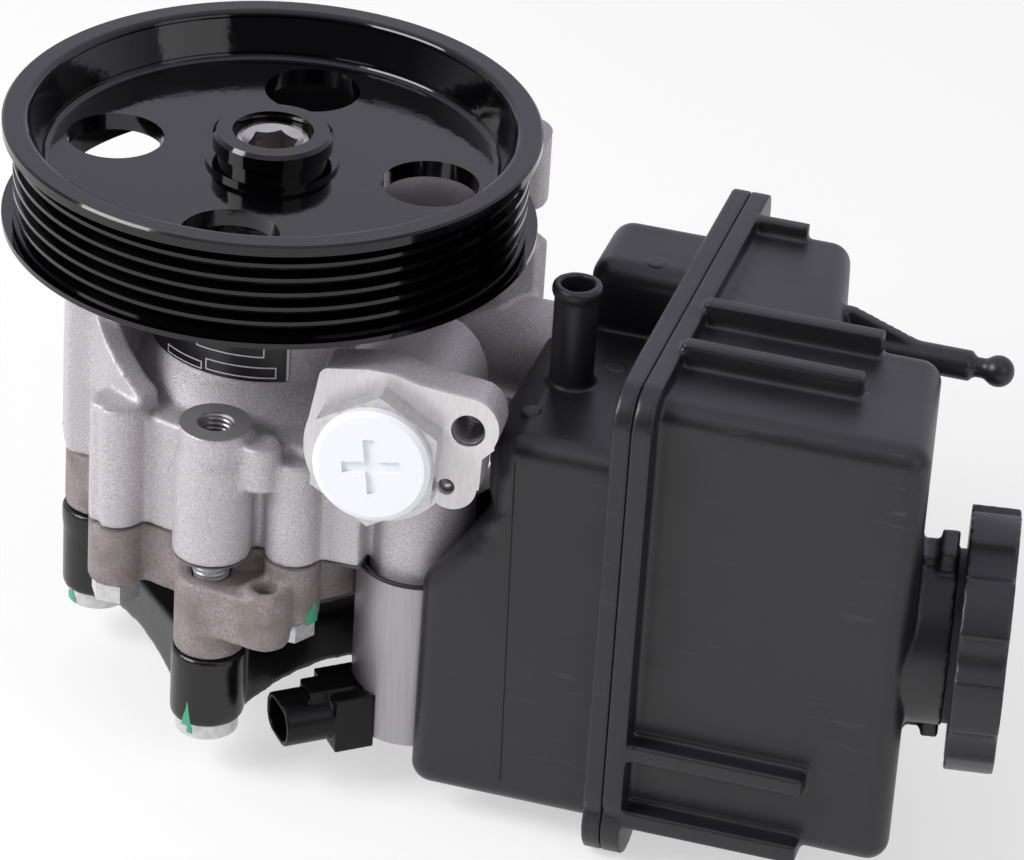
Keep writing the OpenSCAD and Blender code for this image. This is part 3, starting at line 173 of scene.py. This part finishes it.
# Shot-blasted die casting: bright matte metal, with cloudy patches and a grain drawn coarse enough to show
def dieCastAluminium():
    material, tree, shader, place = startMaterial("dieCastAluminium", "#b8b5b8", 0.5, Metallic=0.4)
    grain = speckle(tree, place, 0.4, detail=2.0)
    cloud = speckle(tree, place, 9.0)
    grainColors = {0: grain, 6: srgb("#a7a2a7"), 7: srgb("#d9d4d8")}
    sandy = addNode(tree, "ShaderNodeMix", grainColors, data_type="RGBA").outputs[2]
    shade = addNode(tree, "ShaderNodeMath", {0: cloud, 1: 0.4}, operation="MULTIPLY").outputs[0]
    cloudColors = {0: shade, 6: sandy, 7: srgb("#b5b0b5")}
    color = addNode(tree, "ShaderNodeMix", cloudColors, data_type="RGBA").outputs[2]
    bump = addNode(tree, "ShaderNodeBump", {"Height": grain, "Distance": 0.045 * mm}).outputs[0]
    feedShader(tree, shader, {"Base Color": color, "Normal": bump})
    return material


# Face-milled aluminium: bright, with fine tool lines
def milledAluminium():
    material, tree, shader, place = startMaterial("milledAluminium", "#ccc8ca", 0.3, Metallic=0.4)
    upright = addNode(tree, "ShaderNodeMapping", {"Vector": place, "Scale": (1.0, 1.0, 0.08)}).outputs[0]
    lines = speckle(tree, upright, 0.5, 0.35, 0.65)
    lineColors = {0: lines, 6: srgb("#d2ced0"), 7: srgb("#dcd8da")}
    color = addNode(tree, "ShaderNodeMix", lineColors, data_type="RGBA").outputs[2]
    feedShader(tree, shader, {"Base Color": color})
    return material


# Bare grey iron: brownish, with a sandy grain and darker oily patches
def greyIron():
    material, tree, shader, place = startMaterial("greyIron", "#857b73", 0.6, Metallic=0.25)
    grain = speckle(tree, place, 0.6, detail=4.0)
    stain = speckle(tree, place, 7.0, 0.4, 0.75)
    grainColors = {0: grain, 6: srgb("#7d7372"), 7: srgb("#a1979a")}
    sandy = addNode(tree, "ShaderNodeMix", grainColors, data_type="RGBA").outputs[2]
    stainColors = {0: stain, 6: sandy, 7: srgb("#776c66")}
    color = addNode(tree, "ShaderNodeMix", stainColors, data_type="RGBA").outputs[2]
    bump = addNode(tree, "ShaderNodeBump", {"Height": grain, "Distance": 0.06 * mm}).outputs[0]
    feedShader(tree, shader, {"Base Color": color, "Normal": bump})
    return material


# Dipped black paint on the bracket: semi-gloss, a little wavy
def bracketPaint():
    material, tree, shader, place = startMaterial("bracketPaint", "#09080a", 0.26)
    waves = speckle(tree, place, 3.0, detail=1.5)
    bump = addNode(tree, "ShaderNodeBump", {"Height": waves, "Distance": 0.03 * mm}).outputs[0]
    feedShader(tree, shader, {"Normal": bump})
    return material


# Zinc-plated steel: pale metal with a faint crystalline mottle
def zincPlate():
    material, tree, shader, place = startMaterial("zincPlate", "#c6c5c7", 0.32, Metallic=0.6)
    mottleColors = {0: speckle(tree, place, 1.6), 6: srgb("#c0bfc0"), 7: srgb("#d8d7d8")}
    color = addNode(tree, "ShaderNodeMix", mottleColors, data_type="RGBA").outputs[2]
    feedShader(tree, shader, {"Base Color": color})
    return material


# Deep-drawn plated can: dull grey with faint upright draw lines
def drawnSteel():
    material, tree, shader, place = startMaterial("drawnSteel", "#aaa6aa", 0.42, Metallic=0.8)
    upright = addNode(tree, "ShaderNodeMapping", {"Vector": place, "Scale": (1.0, 1.0, 0.06)}).outputs[0]
    lineColors = {0: speckle(tree, upright, 0.9), 6: srgb("#a5a1a5"), 7: srgb("#aeaaae")}
    color = addNode(tree, "ShaderNodeMix", lineColors, data_type="RGBA").outputs[2]
    feedShader(tree, shader, {"Base Color": color})
    return material


# Glass-filled nylon, moulded: charcoal satin with a fine skin, pale rub marks and dust
def mouldedNylon(name, base, rubbed, shine=0.5):
    material, tree, shader, place = startMaterial(name, base, 0.4, Specular_IOR_Level=shine)
    skin = speckle(tree, place, 0.45, detail=2.0)
    slant = {"Vector": place, "Rotation": (0.5, 0.4, 0.9), "Scale": (0.08, 1.0, 1.0)}
    slanted = addNode(tree, "ShaderNodeMapping", slant).outputs[0]
    rubs = speckle(tree, slanted, 1.3, 0.62, 0.8, 5.0)
    patch = speckle(tree, place, 17.0, 0.45, 0.75)
    rubbedPart = addNode(tree, "ShaderNodeMath", {0: rubs, 1: patch}, operation="MULTIPLY").outputs[0]
    rubColors = {0: rubbedPart, 6: srgb(base), 7: srgb(rubbed)}
    color = addNode(tree, "ShaderNodeMix", rubColors, data_type="RGBA").outputs[2]
    rough = addNode(tree, "ShaderNodeMapRange", {"Value": patch, "To Min": 0.36, "To Max": 0.46}).outputs[0]
    bump = addNode(tree, "ShaderNodeBump", {"Height": skin, "Distance": 0.012 * mm}).outputs[0]
    feedShader(tree, shader, {"Base Color": color, "Roughness": rough, "Normal": bump})
    return material


# One even colour, with a gloss that drifts by a tenth either way
def plainMaterial(name, color, roughness, metallic=0.0):
    material, tree, shader, place = startMaterial(name, color, roughness, Metallic=metallic)
    drift = {"Value": speckle(tree, place, 3.0), "To Min": roughness * 0.9, "To Max": roughness * 1.1}
    feedShader(tree, shader, {"Roughness": addNode(tree, "ShaderNodeMapRange", drift).outputs[0]})
    return material


finish = {
    "enamel": stovedEnamel(),
    "casting": dieCastAluminium(),
    "milled": milledAluminium(),
    "iron": greyIron(),
    "bracket": bracketPaint(),
    "zinc": zincPlate(),
    "can": drawnSteel(),
    "tank": mouldedNylon("tankNylon", "#1d1c20", "#48454b"),
    "cap": mouldedNylon("capNylon", "#1e1d21", "#48454b"),
    "connector": mouldedNylon("connectorNylon", "#050506", "#161618", 0.25),
    "steel": plainMaterial("groundSteel", "#b9b7b4", 0.28, 1.0),
    "rubber": plainMaterial("nitrileRubber", "#1c1b1b", 0.6),
    "bronze": plainMaterial("bearingBronze", "#a67c45", 0.4, 1.0),
    "label": plainMaterial("labelFilm", "#1a191c", 0.35),
    "print": plainMaterial("labelPrint", "#cfcdd0", 0.4),
    "dab": plainMaterial("markingPaint", "#3f9c79", 0.4),
    "turned": plainMaterial("turnedAluminium", "#a5a1a5", 0.4, 0.6),
    "thread": plainMaterial("cutThread", "#8e8b8e", 0.25, 0.45),
    "plug": plainMaterial("whitePolyethylene", "#e9ebf0", 0.45),
    "resin": plainMaterial("coilResin", "#8a5a33", 0.5),
    "pins": plainMaterial("tinnedBrass", "#c9b27a", 0.3, 1.0),
    "natural": plainMaterial("naturalNylon", "#d8d2b8", 0.5),
}
vanes = [f"vane_{i}" for i in range(1, 11)]
wear(finish["enamel"], "pulley", "pulley_hub")
wear(finish["casting"], "pump_housing")
wear(finish["steel"], "drive_shaft", "rotor", "rotor_ring", *vanes)
wear(finish["steel"], "cam_ring", "front_plate", "pressure_plate")
wear(finish["steel"], "bearing_inner_race", "bearing_outer_race", "bearing_balls", "bearing_circlip")
wear(finish["steel"], "dowel_pins", "valve_spool", "valve_spring", "solenoid_plunger")
wear(finish["rubber"], "shaft_seal", "cover_seal", "solenoid_seal", "suction_seal", "cap_gasket")
wear(finish["bronze"], "shaft_bush")
wear(finish["label"], "rating_plate")
wear(finish["iron"], "rear_cover")
wear(finish["zinc"], "cover_bolts", "bracket_bolts", "reservoir_screw", "outlet_fitting")
wear(finish["bracket"], "support_bracket")
wear(finish["plug"], "dust_plug")
wear(finish["can"], "solenoid_sleeve")
wear(finish["resin"], "solenoid_coil")
wear(finish["connector"], "solenoid_connector")
wear(finish["pins"], "connector_pins")
wear(finish["tank"], "reservoir_left", "reservoir_right")
wear(finish["cap"], "filler_cap")
wear(finish["natural"], "filter_screen", "dipstick")
print("materials assigned")


def linkPiece(piece, body, material):
    bpy.context.scene.collection.objects.link(piece)
    piece.data.materials.clear()
    piece.data.materials.append(material)
    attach(piece, body)
    return piece


# Climbs evenly from 0 at start to 1 at end, and stays there
def ramp(values, start, end):
    return np.clip((values - start) / (end - start), 0, 1)


# One drafted front for both blocks of the left half: y(z) = top - lean (topZ - z) / height, sizes in mm. The
# push fades out between the two depths of fade, and the upper block's side wall moves out by widen
def draftFront(points, look):
    x, y, z = points.T
    front = look["top"] - look["lean"] * ramp(z, look["topZ"], look["topZ"] - look["height"])
    lower = front - look["lowerFront"]
    upper = front - np.minimum(y, look["upperFront"])
    share = ramp(x, look["upperX"] - look["blend"], look["upperX"]) * (z > look["stepZ"])
    inside = (x < look["endX"]) & (z < look["topZ"] + look["frontSlack"])
    near = ramp(y, look["fade"][1], look["fade"][0]) * inside
    wall = ramp(x, look["wallX"][1], look["wallX"][0]) * ramp(z, *look["wallZ"])
    wall *= ramp(y, look["wallY"][0], look["wallY"][0] + look["blend"])
    wall *= ramp(y, look["wallY"][1], look["wallY"][1] - look["blend"])
    wall *= z < look["topZ"] + look["wallSlack"]
    return np.stack([x - look["widen"] * wall, y + (lower + (upper - lower) * share) * near, z], 1)


leftDraft = {
    "top": -42.0,
    "lean": 3.0,
    "topZ": -31.78,
    "height": 93.8,
    "lowerFront": -45.0,
    "upperFront": -42.0,
    "upperX": 67.0,
    "stepZ": -56.0,
    "fade": (-37.0, -20.0),
    "blend": 4.0,
    "endX": 94.4,
    "frontSlack": 1.0,
    "widen": 3.2,
    "wallX": (67.5, 70.3),
    "wallY": (-38.0, 13.0),
    "wallZ": (-56.0, -50.0),
    "wallSlack": 0.3,
    "melt": ((60.0, -50.0, -62.0), (75.0, -33.0, -43.0)),
    "meltRounds": 14,
}


# Joins points that lie in one place, so that seams and poles are closed
def mergeDoubles(mesh, reach=0.0005):
    work = bmesh.new()
    work.from_mesh(mesh)
    bmesh.ops.remove_doubles(work, verts=work.verts, dist=reach * mm)
    work.to_mesh(mesh)
    work.free()


# Puts one modifier's result into a piece's mesh
def applyModifier(piece, kind, **settings):
    modifier = piece.modifiers.new(kind.lower(), kind)
    for key, value in settings.items():
        setattr(modifier, key, value)
    depsgraph = bpy.context.evaluated_depsgraph_get()
    piece.data = bpy.data.meshes.new_from_object(piece.evaluated_get(depsgraph))
    piece.modifiers.clear()


# Moves every point half of the way to the mean of its neighbours, a few times over: p + (mean - p) / 2.
# A look with a draft then leans its front and melts what lies in a box
def relaxMesh(mesh, look):
    count = len(mesh.vertices)
    flat = np.empty(count * 3, np.float32)
    mesh.vertices.foreach_get("co", flat)
    points = flat.reshape(-1, 3).astype(float)
    ends = np.empty(len(mesh.edges) * 2, np.int32)
    mesh.edges.foreach_get("vertices", ends)
    first, second = ends.reshape(-1, 2).T
    degree = np.bincount(first, minlength=count) + np.bincount(second, minlength=count)

    def neighbourSum(values):
        return np.bincount(first, values[second], count) + np.bincount(second, values[first], count)

    def relax(rounds, share):
        for turn in range(rounds):
            total = np.stack([neighbourSum(column) for column in points.T], 1)
            points[:] += 0.5 * share * (total / degree[:, None] - points)

    relax(look["rounds"], 1.0)
    if "draft" in look:
        points[:] = draftFront(points / mm, look["draft"]) * mm
        low, high = (np.array(corner) * mm for corner in look["draft"]["melt"])
        within = ((points > low) & (points < high)).all(1)
        relax(look["draft"]["meltRounds"], within[:, None].astype(float))
    mesh.vertices.foreach_set("co", points.astype(np.float32).ravel())
    mesh.update()


# A softened copy of a cast or moulded node, with its edges rounded as a mould rounds them: its mesh is
# merged, rebuilt on a grid of cells (in mm), relaxed and thinned to the share that keep gives
def softCopy(name, look):
    mesh = nodes[name].data.copy()
    mergeDoubles(mesh)
    piece = bpy.data.objects.new(name + "Soft", mesh)
    bpy.context.scene.collection.objects.link(piece)
    applyModifier(piece, "REMESH", mode="VOXEL", voxel_size=look["cell"] * mm)
    relaxMesh(piece.data, look)
    applyModifier(piece, "DECIMATE", ratio=look["keep"])
    piece.data.shade_smooth()
    piece.data.materials.clear()
    piece.data.materials.append(nodes[name].data.materials[0])
    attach(piece, bodyOf[name])
    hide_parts(name)
    print("softened", name, len(piece.data.polygons), "faces")
    return piece


softLooks = {
    "pump_housing": {"cell": 0.7, "rounds": 5, "keep": 0.5},
    "rear_cover": {"cell": 0.7, "rounds": 5, "keep": 0.5},
    "support_bracket": {"cell": 0.7, "rounds": 8, "keep": 0.5},
    "reservoir_left": {"cell": 0.6, "rounds": 1, "keep": 0.35, "draft": leftDraft},
    "reservoir_right": {"cell": 0.6, "rounds": 1, "keep": 0.35},
    "filler_cap": {"cell": 0.5, "rounds": 2, "keep": 0.4},
    "solenoid_connector": {"cell": 0.3, "rounds": 4, "keep": 0.5},
}
for name, look in softLooks.items():
    softCopy(name, look)


# One mesh over grids of points in mm, each rows by columns; a wrapped grid joins round to its first column
def gridPiece(name, grids, material, body, wrapped=False):
    points = np.concatenate([grid.reshape(-1, 3) for grid in grids]) * mm
    faces = []
    start = 0
    for rows, cols, _ in (grid.shape for grid in grids):
        row, col = np.mgrid[0:rows - 1, 0:(cols if wrapped else cols - 1)]
        low = start + row * cols
        after = (col + 1) % cols
        corners = [low + col, low + after, low + cols + after, low + cols + col]
        faces += np.stack(corners, 2).reshape(-1, 4).tolist()
        start += rows * cols
    mesh = bpy.data.meshes.new(name)
    mesh.from_pydata(points.tolist(), [], faces)
    mergeDoubles(mesh)
    mesh.shade_smooth()
    return linkPiece(bpy.data.objects.new(name, mesh), body, material)


# Angles once round, without the last one, which is the first again
def onceRound(steps):
    return np.linspace(0, 2 * np.pi, steps, endpoint=False)


# Points turned about an axis: p = centre + h axis + r (cos t side + sin t other)
def turnPoints(centre, axis, r, h, t):
    axis = np.array(axis, float) / np.linalg.norm(axis)
    side = np.cross(axis, [0.0, 0.6, 0.8])  # any direction that no axis here runs along
    side /= np.linalg.norm(side)
    other = np.cross(axis, side)
    ring = np.cos(t)[..., None] * side + np.sin(t)[..., None] * other
    return np.array(centre) + h[..., None] * axis + r[..., None] * ring


mounts = {m["name"]: m for m in frame["record"]["mounts"]}
outletAxis = mounts["outlet_thread"]["axis"]
frontBolt = (2.491, -41.926)  # the three long screws, in mm
leftBolt = (-39.988, 0.977)
rightBolt = (39.945, 2.093)


# Foot of a mount's hole, in mm
def holeFoot(name):
    mount = mounts[name]
    return np.array(mount["pos_m"]) / mm - np.array(mount["axis"]) * (mount["dims"]["length_mm"] / 2)


# Screw threads, sizes in mm: the two open holes, and the long screws where they are bare
threads = {
    "outletThread": {
        "centres": [holeFoot("outlet_thread")],
        "axis": outletAxis,
        "outer": 3.78,
        "depth": 0.5,
        "pitch": 1.25,
        "length": 11.7,
        "inHole": True,
        "finish": "thread",
    },
    "bossThread": {
        "centres": [holeFoot("front_boss")],
        "axis": (0, 0, 1),
        "outer": 4.12,
        "depth": 0.55,
        "pitch": 1.25,
        "length": 14.4,
        "inHole": True,
        "finish": "thread",
    },
    "boltThread": {
        "centres": [(*bolt, -81.2) for bolt in (frontBolt, leftBolt, rightBolt)],
        "axis": (0, 0, 1),
        "outer": 4.3,
        "depth": 0.6,
        "pitch": 1.25,
        "length": 6.2,
        "inHole": False,
        "finish": "zinc",
    },
}


# One turn climbs one pitch: r(h, t) = outer - depth |2 frac(h / pitch - t / 2 pi) - 1|. A hole's faces look
# inwards
def makeThread(name, look, roundSteps=48, pitchSteps=8):
    rows = int(look["length"] / look["pitch"] * pitchSteps) + 1
    t, h = np.meshgrid(onceRound(roundSteps), np.linspace(0, look["length"], rows))
    share = (h / look["pitch"] - t / (2 * np.pi)) % 1
    r = look["outer"] - look["depth"] * np.abs(2 * share - 1)
    grids = [turnPoints(centre, look["axis"], r, h, t) for centre in look["centres"]]
    if look["inHole"]:
        grids = [grid[:, ::-1] for grid in grids]
    return gridPiece(name, grids, finish[look["finish"]], "pump", True)


for name, look in threads.items():
    makeThread(name, look)
print("threads made")


# Patch on an upright cylinder: p(a, z) = centre + r (cos a, sin a), with a in degrees
def wallGrid(centre, r, angles, heights, steps=24, rows=4):
    a, z = np.meshgrid(np.radians(np.linspace(*angles, steps)), np.linspace(*heights, rows))
    return np.stack([centre[0] + r * np.cos(a), centre[1] + r * np.sin(a), z], 2)


# Printed frames on the rating plate: four strips to a frame, and a border strip at the plate's right end
labelLook = {
    "centre": (0, 0),
    "r": 26.57,
    "line": 0.32,
    "frames": [
        ((-128.0, -104.3), (-39.3, -37.2)),
        ((-102.3, -66.4), (-38.9, -36.0)),
        ((-108.0, -72.5), (-33.6, -29.8)),
    ],
    "border": ((-61.6, -60.3), (-39.5, -20.0)),
}


def makeLabel(look):
    centre, r, line = look["centre"], look["r"], look["line"]
    turn = math.degrees(line / r)
    strips = [wallGrid(centre, r, *look["border"], 4)]
    for (a0, a1), (z0, z1) in look["frames"]:
        strips += [wallGrid(centre, r, (a0, a1), (z, z + line)) for z in (z0, z1 - line)]
        strips += [wallGrid(centre, r, (a, a + turn), (z0, z1), 3) for a in (a0, a1 - turn)]
    return gridPiece("labelFrames", strips, finish["print"], "pump")


makeLabel(labelLook)

coverColumn = (20.36, -37.65)  # the iron cover's screw column at the front right, in mm

# Dabs of marking paint: patches whose upper edge runs up to a peak, h(u) = height (1 - |u|)^sharp (1 + sway
# sin(waves u)), with u from -1 to 1 across the dab
dabLook = {
    "places": [
        {"centre": frontBolt, "r": 8.62, "angles": (-114, -94), "foot": -118.6, "height": 6.6, "sharp": 1.2},
        {"centre": frontBolt, "r": 7.29, "angles": (-110, -98), "foot": -121.4, "height": 2.4, "sharp": 0.3},
        {"centre": coverColumn, "r": 6.56, "angles": (-42, -4), "foot": -90.9, "height": 5.5, "sharp": 0.5},
        {"centre": leftBolt, "r": 7.29, "angles": (-148, -116), "foot": -122.3, "height": 3.0, "sharp": 0.4},
    ],
    "sway": 0.14,
    "waves": 7.0,
    "steps": 40,
}


def makeDabs(look):
    u = np.linspace(-1, 1, look["steps"])
    wavy = 1 + look["sway"] * np.sin(look["waves"] * u)
    patches = []
    for place in look["places"]:
        grid = wallGrid(place["centre"], place["r"], place["angles"], (0, 1), look["steps"])
        edge = place["height"] * (1 - np.abs(u)) ** place["sharp"] * wavy
        grid[..., 2] = place["foot"] + grid[..., 2] * edge
        patches.append(grid)
    return gridPiece("paintDabs", patches, finish["dab"], "pump")


makeDabs(dabLook)

# Round ejector marks on the tank's tops, in mm: z(r) = top - sink + lift (1 - (r / radius)^power)
markLook = {
    "places": [(83.3, -2.5, -31.78), (71.0, -28.4, -31.78), (86.0, 19.0, -15.28)],
    "radius": 2.5,
    "lift": 0.25,
    "sink": 0.05,
    "power": 8,
}


def makeMarks(look):
    t, share = np.meshgrid(-onceRound(40), np.linspace(0, 1, 10))
    across = look["radius"] * share * np.cos(t)
    along = look["radius"] * share * np.sin(t)
    rise = look["lift"] * (1 - share ** look["power"]) - look["sink"]
    discs = [np.stack([x + across, y + along, z + rise], 2) for x, y, z in look["places"]]
    return gridPiece("ejectorMarks", discs, finish["tank"], "pump", True)


makeMarks(markLook)

# Ball pressed into the small hole beside the outlet: half a sphere, r = radius cos b, h = radius sin b
ballLook = {
    "centre": (58.29, -49.21, -42.36),
    "depth": 2.6,
    "radius": 1.9,
}


def makeBall(look):
    centre = np.array(look["centre"]) - np.array(outletAxis) * look["depth"]
    t, b = np.meshgrid(onceRound(32), np.linspace(0, 0.5 * np.pi, 10))
    grid = turnPoints(centre, outletAxis, look["radius"] * np.cos(b), look["radius"] * np.sin(b), t)
    return gridPiece("pressedBall", [grid], finish["steel"], "pump", True)


makeBall(ballLook)

# Seal's edge in the joint over the solenoid's can, a ring of round wire:
# p(a, b) = centre + (radius + wire cos b) (cos a, sin a), z + wire sin b
ringLook = {
    "centre": (46.615, -24.369, -76.9),
    "radius": 14.35,
    "wire": 0.55,
}


def makeRing(look):
    a, b = np.meshgrid(onceRound(96), np.linspace(0, 2 * np.pi, 13))
    x, y, z = look["centre"]
    r = look["radius"] + look["wire"] * np.cos(b)
    grid = np.stack([x + r * np.cos(a), y + r * np.sin(a), z + look["wire"] * np.sin(b)], 2)
    return gridPiece("sealEdge", [grid], finish["rubber"], "pump", True)


makeRing(ringLook)

# Fine mould line down the left half's front: a near-black strip on the drafted plane, y(z) as in draftFront.
# The line's place is real, but its dark colour is painted shade, standing in for the shade along the line's
# small step
lineLook = {
    "top": (71.6, -37.0),
    "foot": (73.7, -119.0),
    "width": 0.22,
    "lift": 0.05,
}


def makeShadedMouldLine(look, draft):
    share = np.linspace(0, 1, 30)
    x = look["top"][0] + share * (look["foot"][0] - look["top"][0])
    z = look["top"][1] + share * (look["foot"][1] - look["top"][1])
    y = draft["top"] - draft["lean"] * (draft["topZ"] - z) / draft["height"] - look["lift"]
    edges = [np.stack([x + side * look["width"] / 2, y, z], 1) for side in (1, -1)]
    # painted shade: the near-black connector nylon stands in for the shade of the mould line's step
    return gridPiece("mouldLineShade", [np.stack(edges, 1)], finish["connector"], "pump")


makeShadedMouldLine(lineLook, leftDraft)
print("label, paint and mould marks made")

# Machined faces of the casting, each by a point in its plane and its normal, in mm
skinLooks = {
    "milledFaces": {"planes": [((43.0, -50.0, -36.08), outletAxis)], "finish": "milled"},
    "turnedFaces": {
        "planes": [
            ((*frontBolt, -42.28), (0, 0, 1)),
            ((0, 0, -10.78), (0, 0, 1)),
            ((0, 0, -75.28), (0, 0, -1)),
        ],
        "finish": "turned",
    },
}


# Crisp skin over them: the node's own faces that look along the normal and lie in the plane, lifted off it
def machinedSkin(name, node, look, lift=0.14, flatness=0.999, reach=0.05):
    work = bmesh.new()
    work.from_mesh(nodes[node].data)
    kept = set()
    for point, axis in look["planes"]:
        axis = np.array(axis, float) / np.linalg.norm(axis)
        shift = axis * lift * mm
        faces = [f for f in work.faces if np.dot(f.normal, axis) > flatness
                 and abs(np.dot(np.array(f.calc_center_median()) / mm - point, axis)) < reach]
        for vert in {v for f in faces for v in f.verts}:
            vert.co = [c + s for c, s in zip(vert.co, shift)]
        kept.update(faces)
    bmesh.ops.delete(work, geom=[f for f in work.faces if f not in kept], context="FACES")
    mesh = bpy.data.meshes.new(name)
    work.to_mesh(mesh)
    work.free()
    print("machined skin", name, len(mesh.polygons), "faces")
    return linkPiece(bpy.data.objects.new(name, mesh), bodyOf[node], finish[look["finish"]])


for name, look in skinLooks.items():
    machinedSkin(name, "pump_housing", look)

# Pale floor under the lowest point, and a soft studio round the part: sizes in metres, power in watts
studio = {
    "floorSize": 6.0,
    "floorColor": "#ffffff",
    "floorGlow": 0.55,
    "ambient": 0.5,
    "frontGlow": 0.08,
    "backGlow": 0.95,
    "depthRange": (-0.6, 0.35),
    "overheadRange": (0.6, 0.9),
    "glowTint": "#ece8fb",
    "aim": (0.05, 0, -0.05),
    "lamps": {
        "keyLamp": {"place": (-0.9, -0.6, 0.8), "size": 0.7, "power": 16.5},
        "fillLamp": {"place": (1.0, -0.6, 0.6), "size": 0.8, "power": 2.5},
    },
}


def makeStage(look):
    low = cadBox[0].z
    half = look["floorSize"] / 2
    mesh = bpy.data.meshes.new("floor")
    corners = [(-half, -half, low), (half, -half, low), (half, half, low), (-half, half, low)]
    mesh.from_pydata(corners, [], [(0, 1, 2, 3)])
    floor = bpy.data.objects.new("floor", mesh)
    bpy.context.scene.collection.objects.link(floor)
    material, tree, shader, place = startMaterial("paleFloor", look["floorColor"], 0.9)
    glow = addNode(tree, "ShaderNodeEmission", {"Color": srgb(look["floorColor"]), "Strength": 1.0})
    paths = addNode(tree, "ShaderNodeLightPath").outputs
    views = {0: paths["Is Camera Ray"], 1: paths["Is Glossy Ray"]}
    seen = addNode(tree, "ShaderNodeMath", views, operation="MAXIMUM").outputs[0]
    share = addNode(tree, "ShaderNodeMath", {0: seen, 1: look["floorGlow"]}, operation="MULTIPLY").outputs[0]
    both = addNode(tree, "ShaderNodeMixShader", {0: share, 1: shader.outputs[0], 2: glow.outputs[0]})
    output = next(n for n in tree.nodes if n.type == "OUTPUT_MATERIAL")
    tree.links.new(both.outputs[0], output.inputs["Surface"])
    floor.data.materials.append(material)


# White for the camera; in reflections white overhead, pale behind, and dim in front, where a studio is dark
def makeWorld(look):
    world = bpy.data.worlds.new("studio")
    bpy.context.scene.world = world
    world.use_nodes = True
    tree = world.node_tree
    tree.nodes.clear()
    paths = addNode(tree, "ShaderNodeLightPath").outputs
    direction = addNode(tree, "ShaderNodeTexCoord").outputs["Generated"]
    split = addNode(tree, "ShaderNodeSeparateXYZ", {0: direction}).outputs
    behind = addNode(tree, "ShaderNodeMapRange", {
        "Value": split[1],
        "From Min": look["depthRange"][0],
        "From Max": look["depthRange"][1],
        "To Min": look["frontGlow"],
        "To Max": look["backGlow"],
    }).outputs[0]
    above = addNode(tree, "ShaderNodeMapRange", {
        "Value": split[2],
        "From Min": look["overheadRange"][0],
        "From Max": look["overheadRange"][1],
    }).outputs[0]
    mirrored = addNode(tree, "ShaderNodeMath", {0: behind, 1: above}, operation="MAXIMUM").outputs[0]
    levels = {0: paths["Is Glossy Ray"], 2: look["ambient"], 3: mirrored}
    reflected = addNode(tree, "ShaderNodeMix", levels).outputs[0]
    views = {0: paths["Is Camera Ray"], 1: paths["Is Transmission Ray"]}
    clear = addNode(tree, "ShaderNodeMath", views, operation="MAXIMUM").outputs[0]
    strength = addNode(tree, "ShaderNodeMix", {0: clear, 2: reflected, 3: 1.0}).outputs[0]
    white = srgb("#ffffff")
    tints = {0: clear, 6: srgb(look["glowTint"]), 7: white}
    tint = addNode(tree, "ShaderNodeMix", tints, data_type="RGBA").outputs[2]
    plain = {0: paths["Is Diffuse Ray"], 6: tint, 7: white}
    shown = addNode(tree, "ShaderNodeMix", plain, data_type="RGBA").outputs[2]
    light = addNode(tree, "ShaderNodeBackground", {"Color": shown, "Strength": strength})
    addNode(tree, "ShaderNodeOutputWorld", {"Surface": light.outputs[0]})


def addLamp(name, look, aim):
    data = bpy.data.lights.new(name, "AREA")
    data.energy = look["power"]
    data.size = look["size"]
    lamp = bpy.data.objects.new(name, data)
    back = np.array(look["place"]) - np.array(aim)
    back = back / np.linalg.norm(back)
    right = np.cross([0, 0, 1], back)
    right = right / np.linalg.norm(right)
    matrix = np.eye(4)
    matrix[:3, :3] = np.stack([right, np.cross(back, right), back], 1)
    matrix[:3, 3] = look["place"]
    lamp.matrix_world = matrix.T.tolist()
    bpy.context.scene.collection.objects.link(lamp)


makeStage(studio)
makeWorld(studio)
for name, look in studio["lamps"].items():
    addLamp(name, look, studio["aim"])
bpy.context.scene.view_settings.view_transform = "Standard"
print("stage and light set")
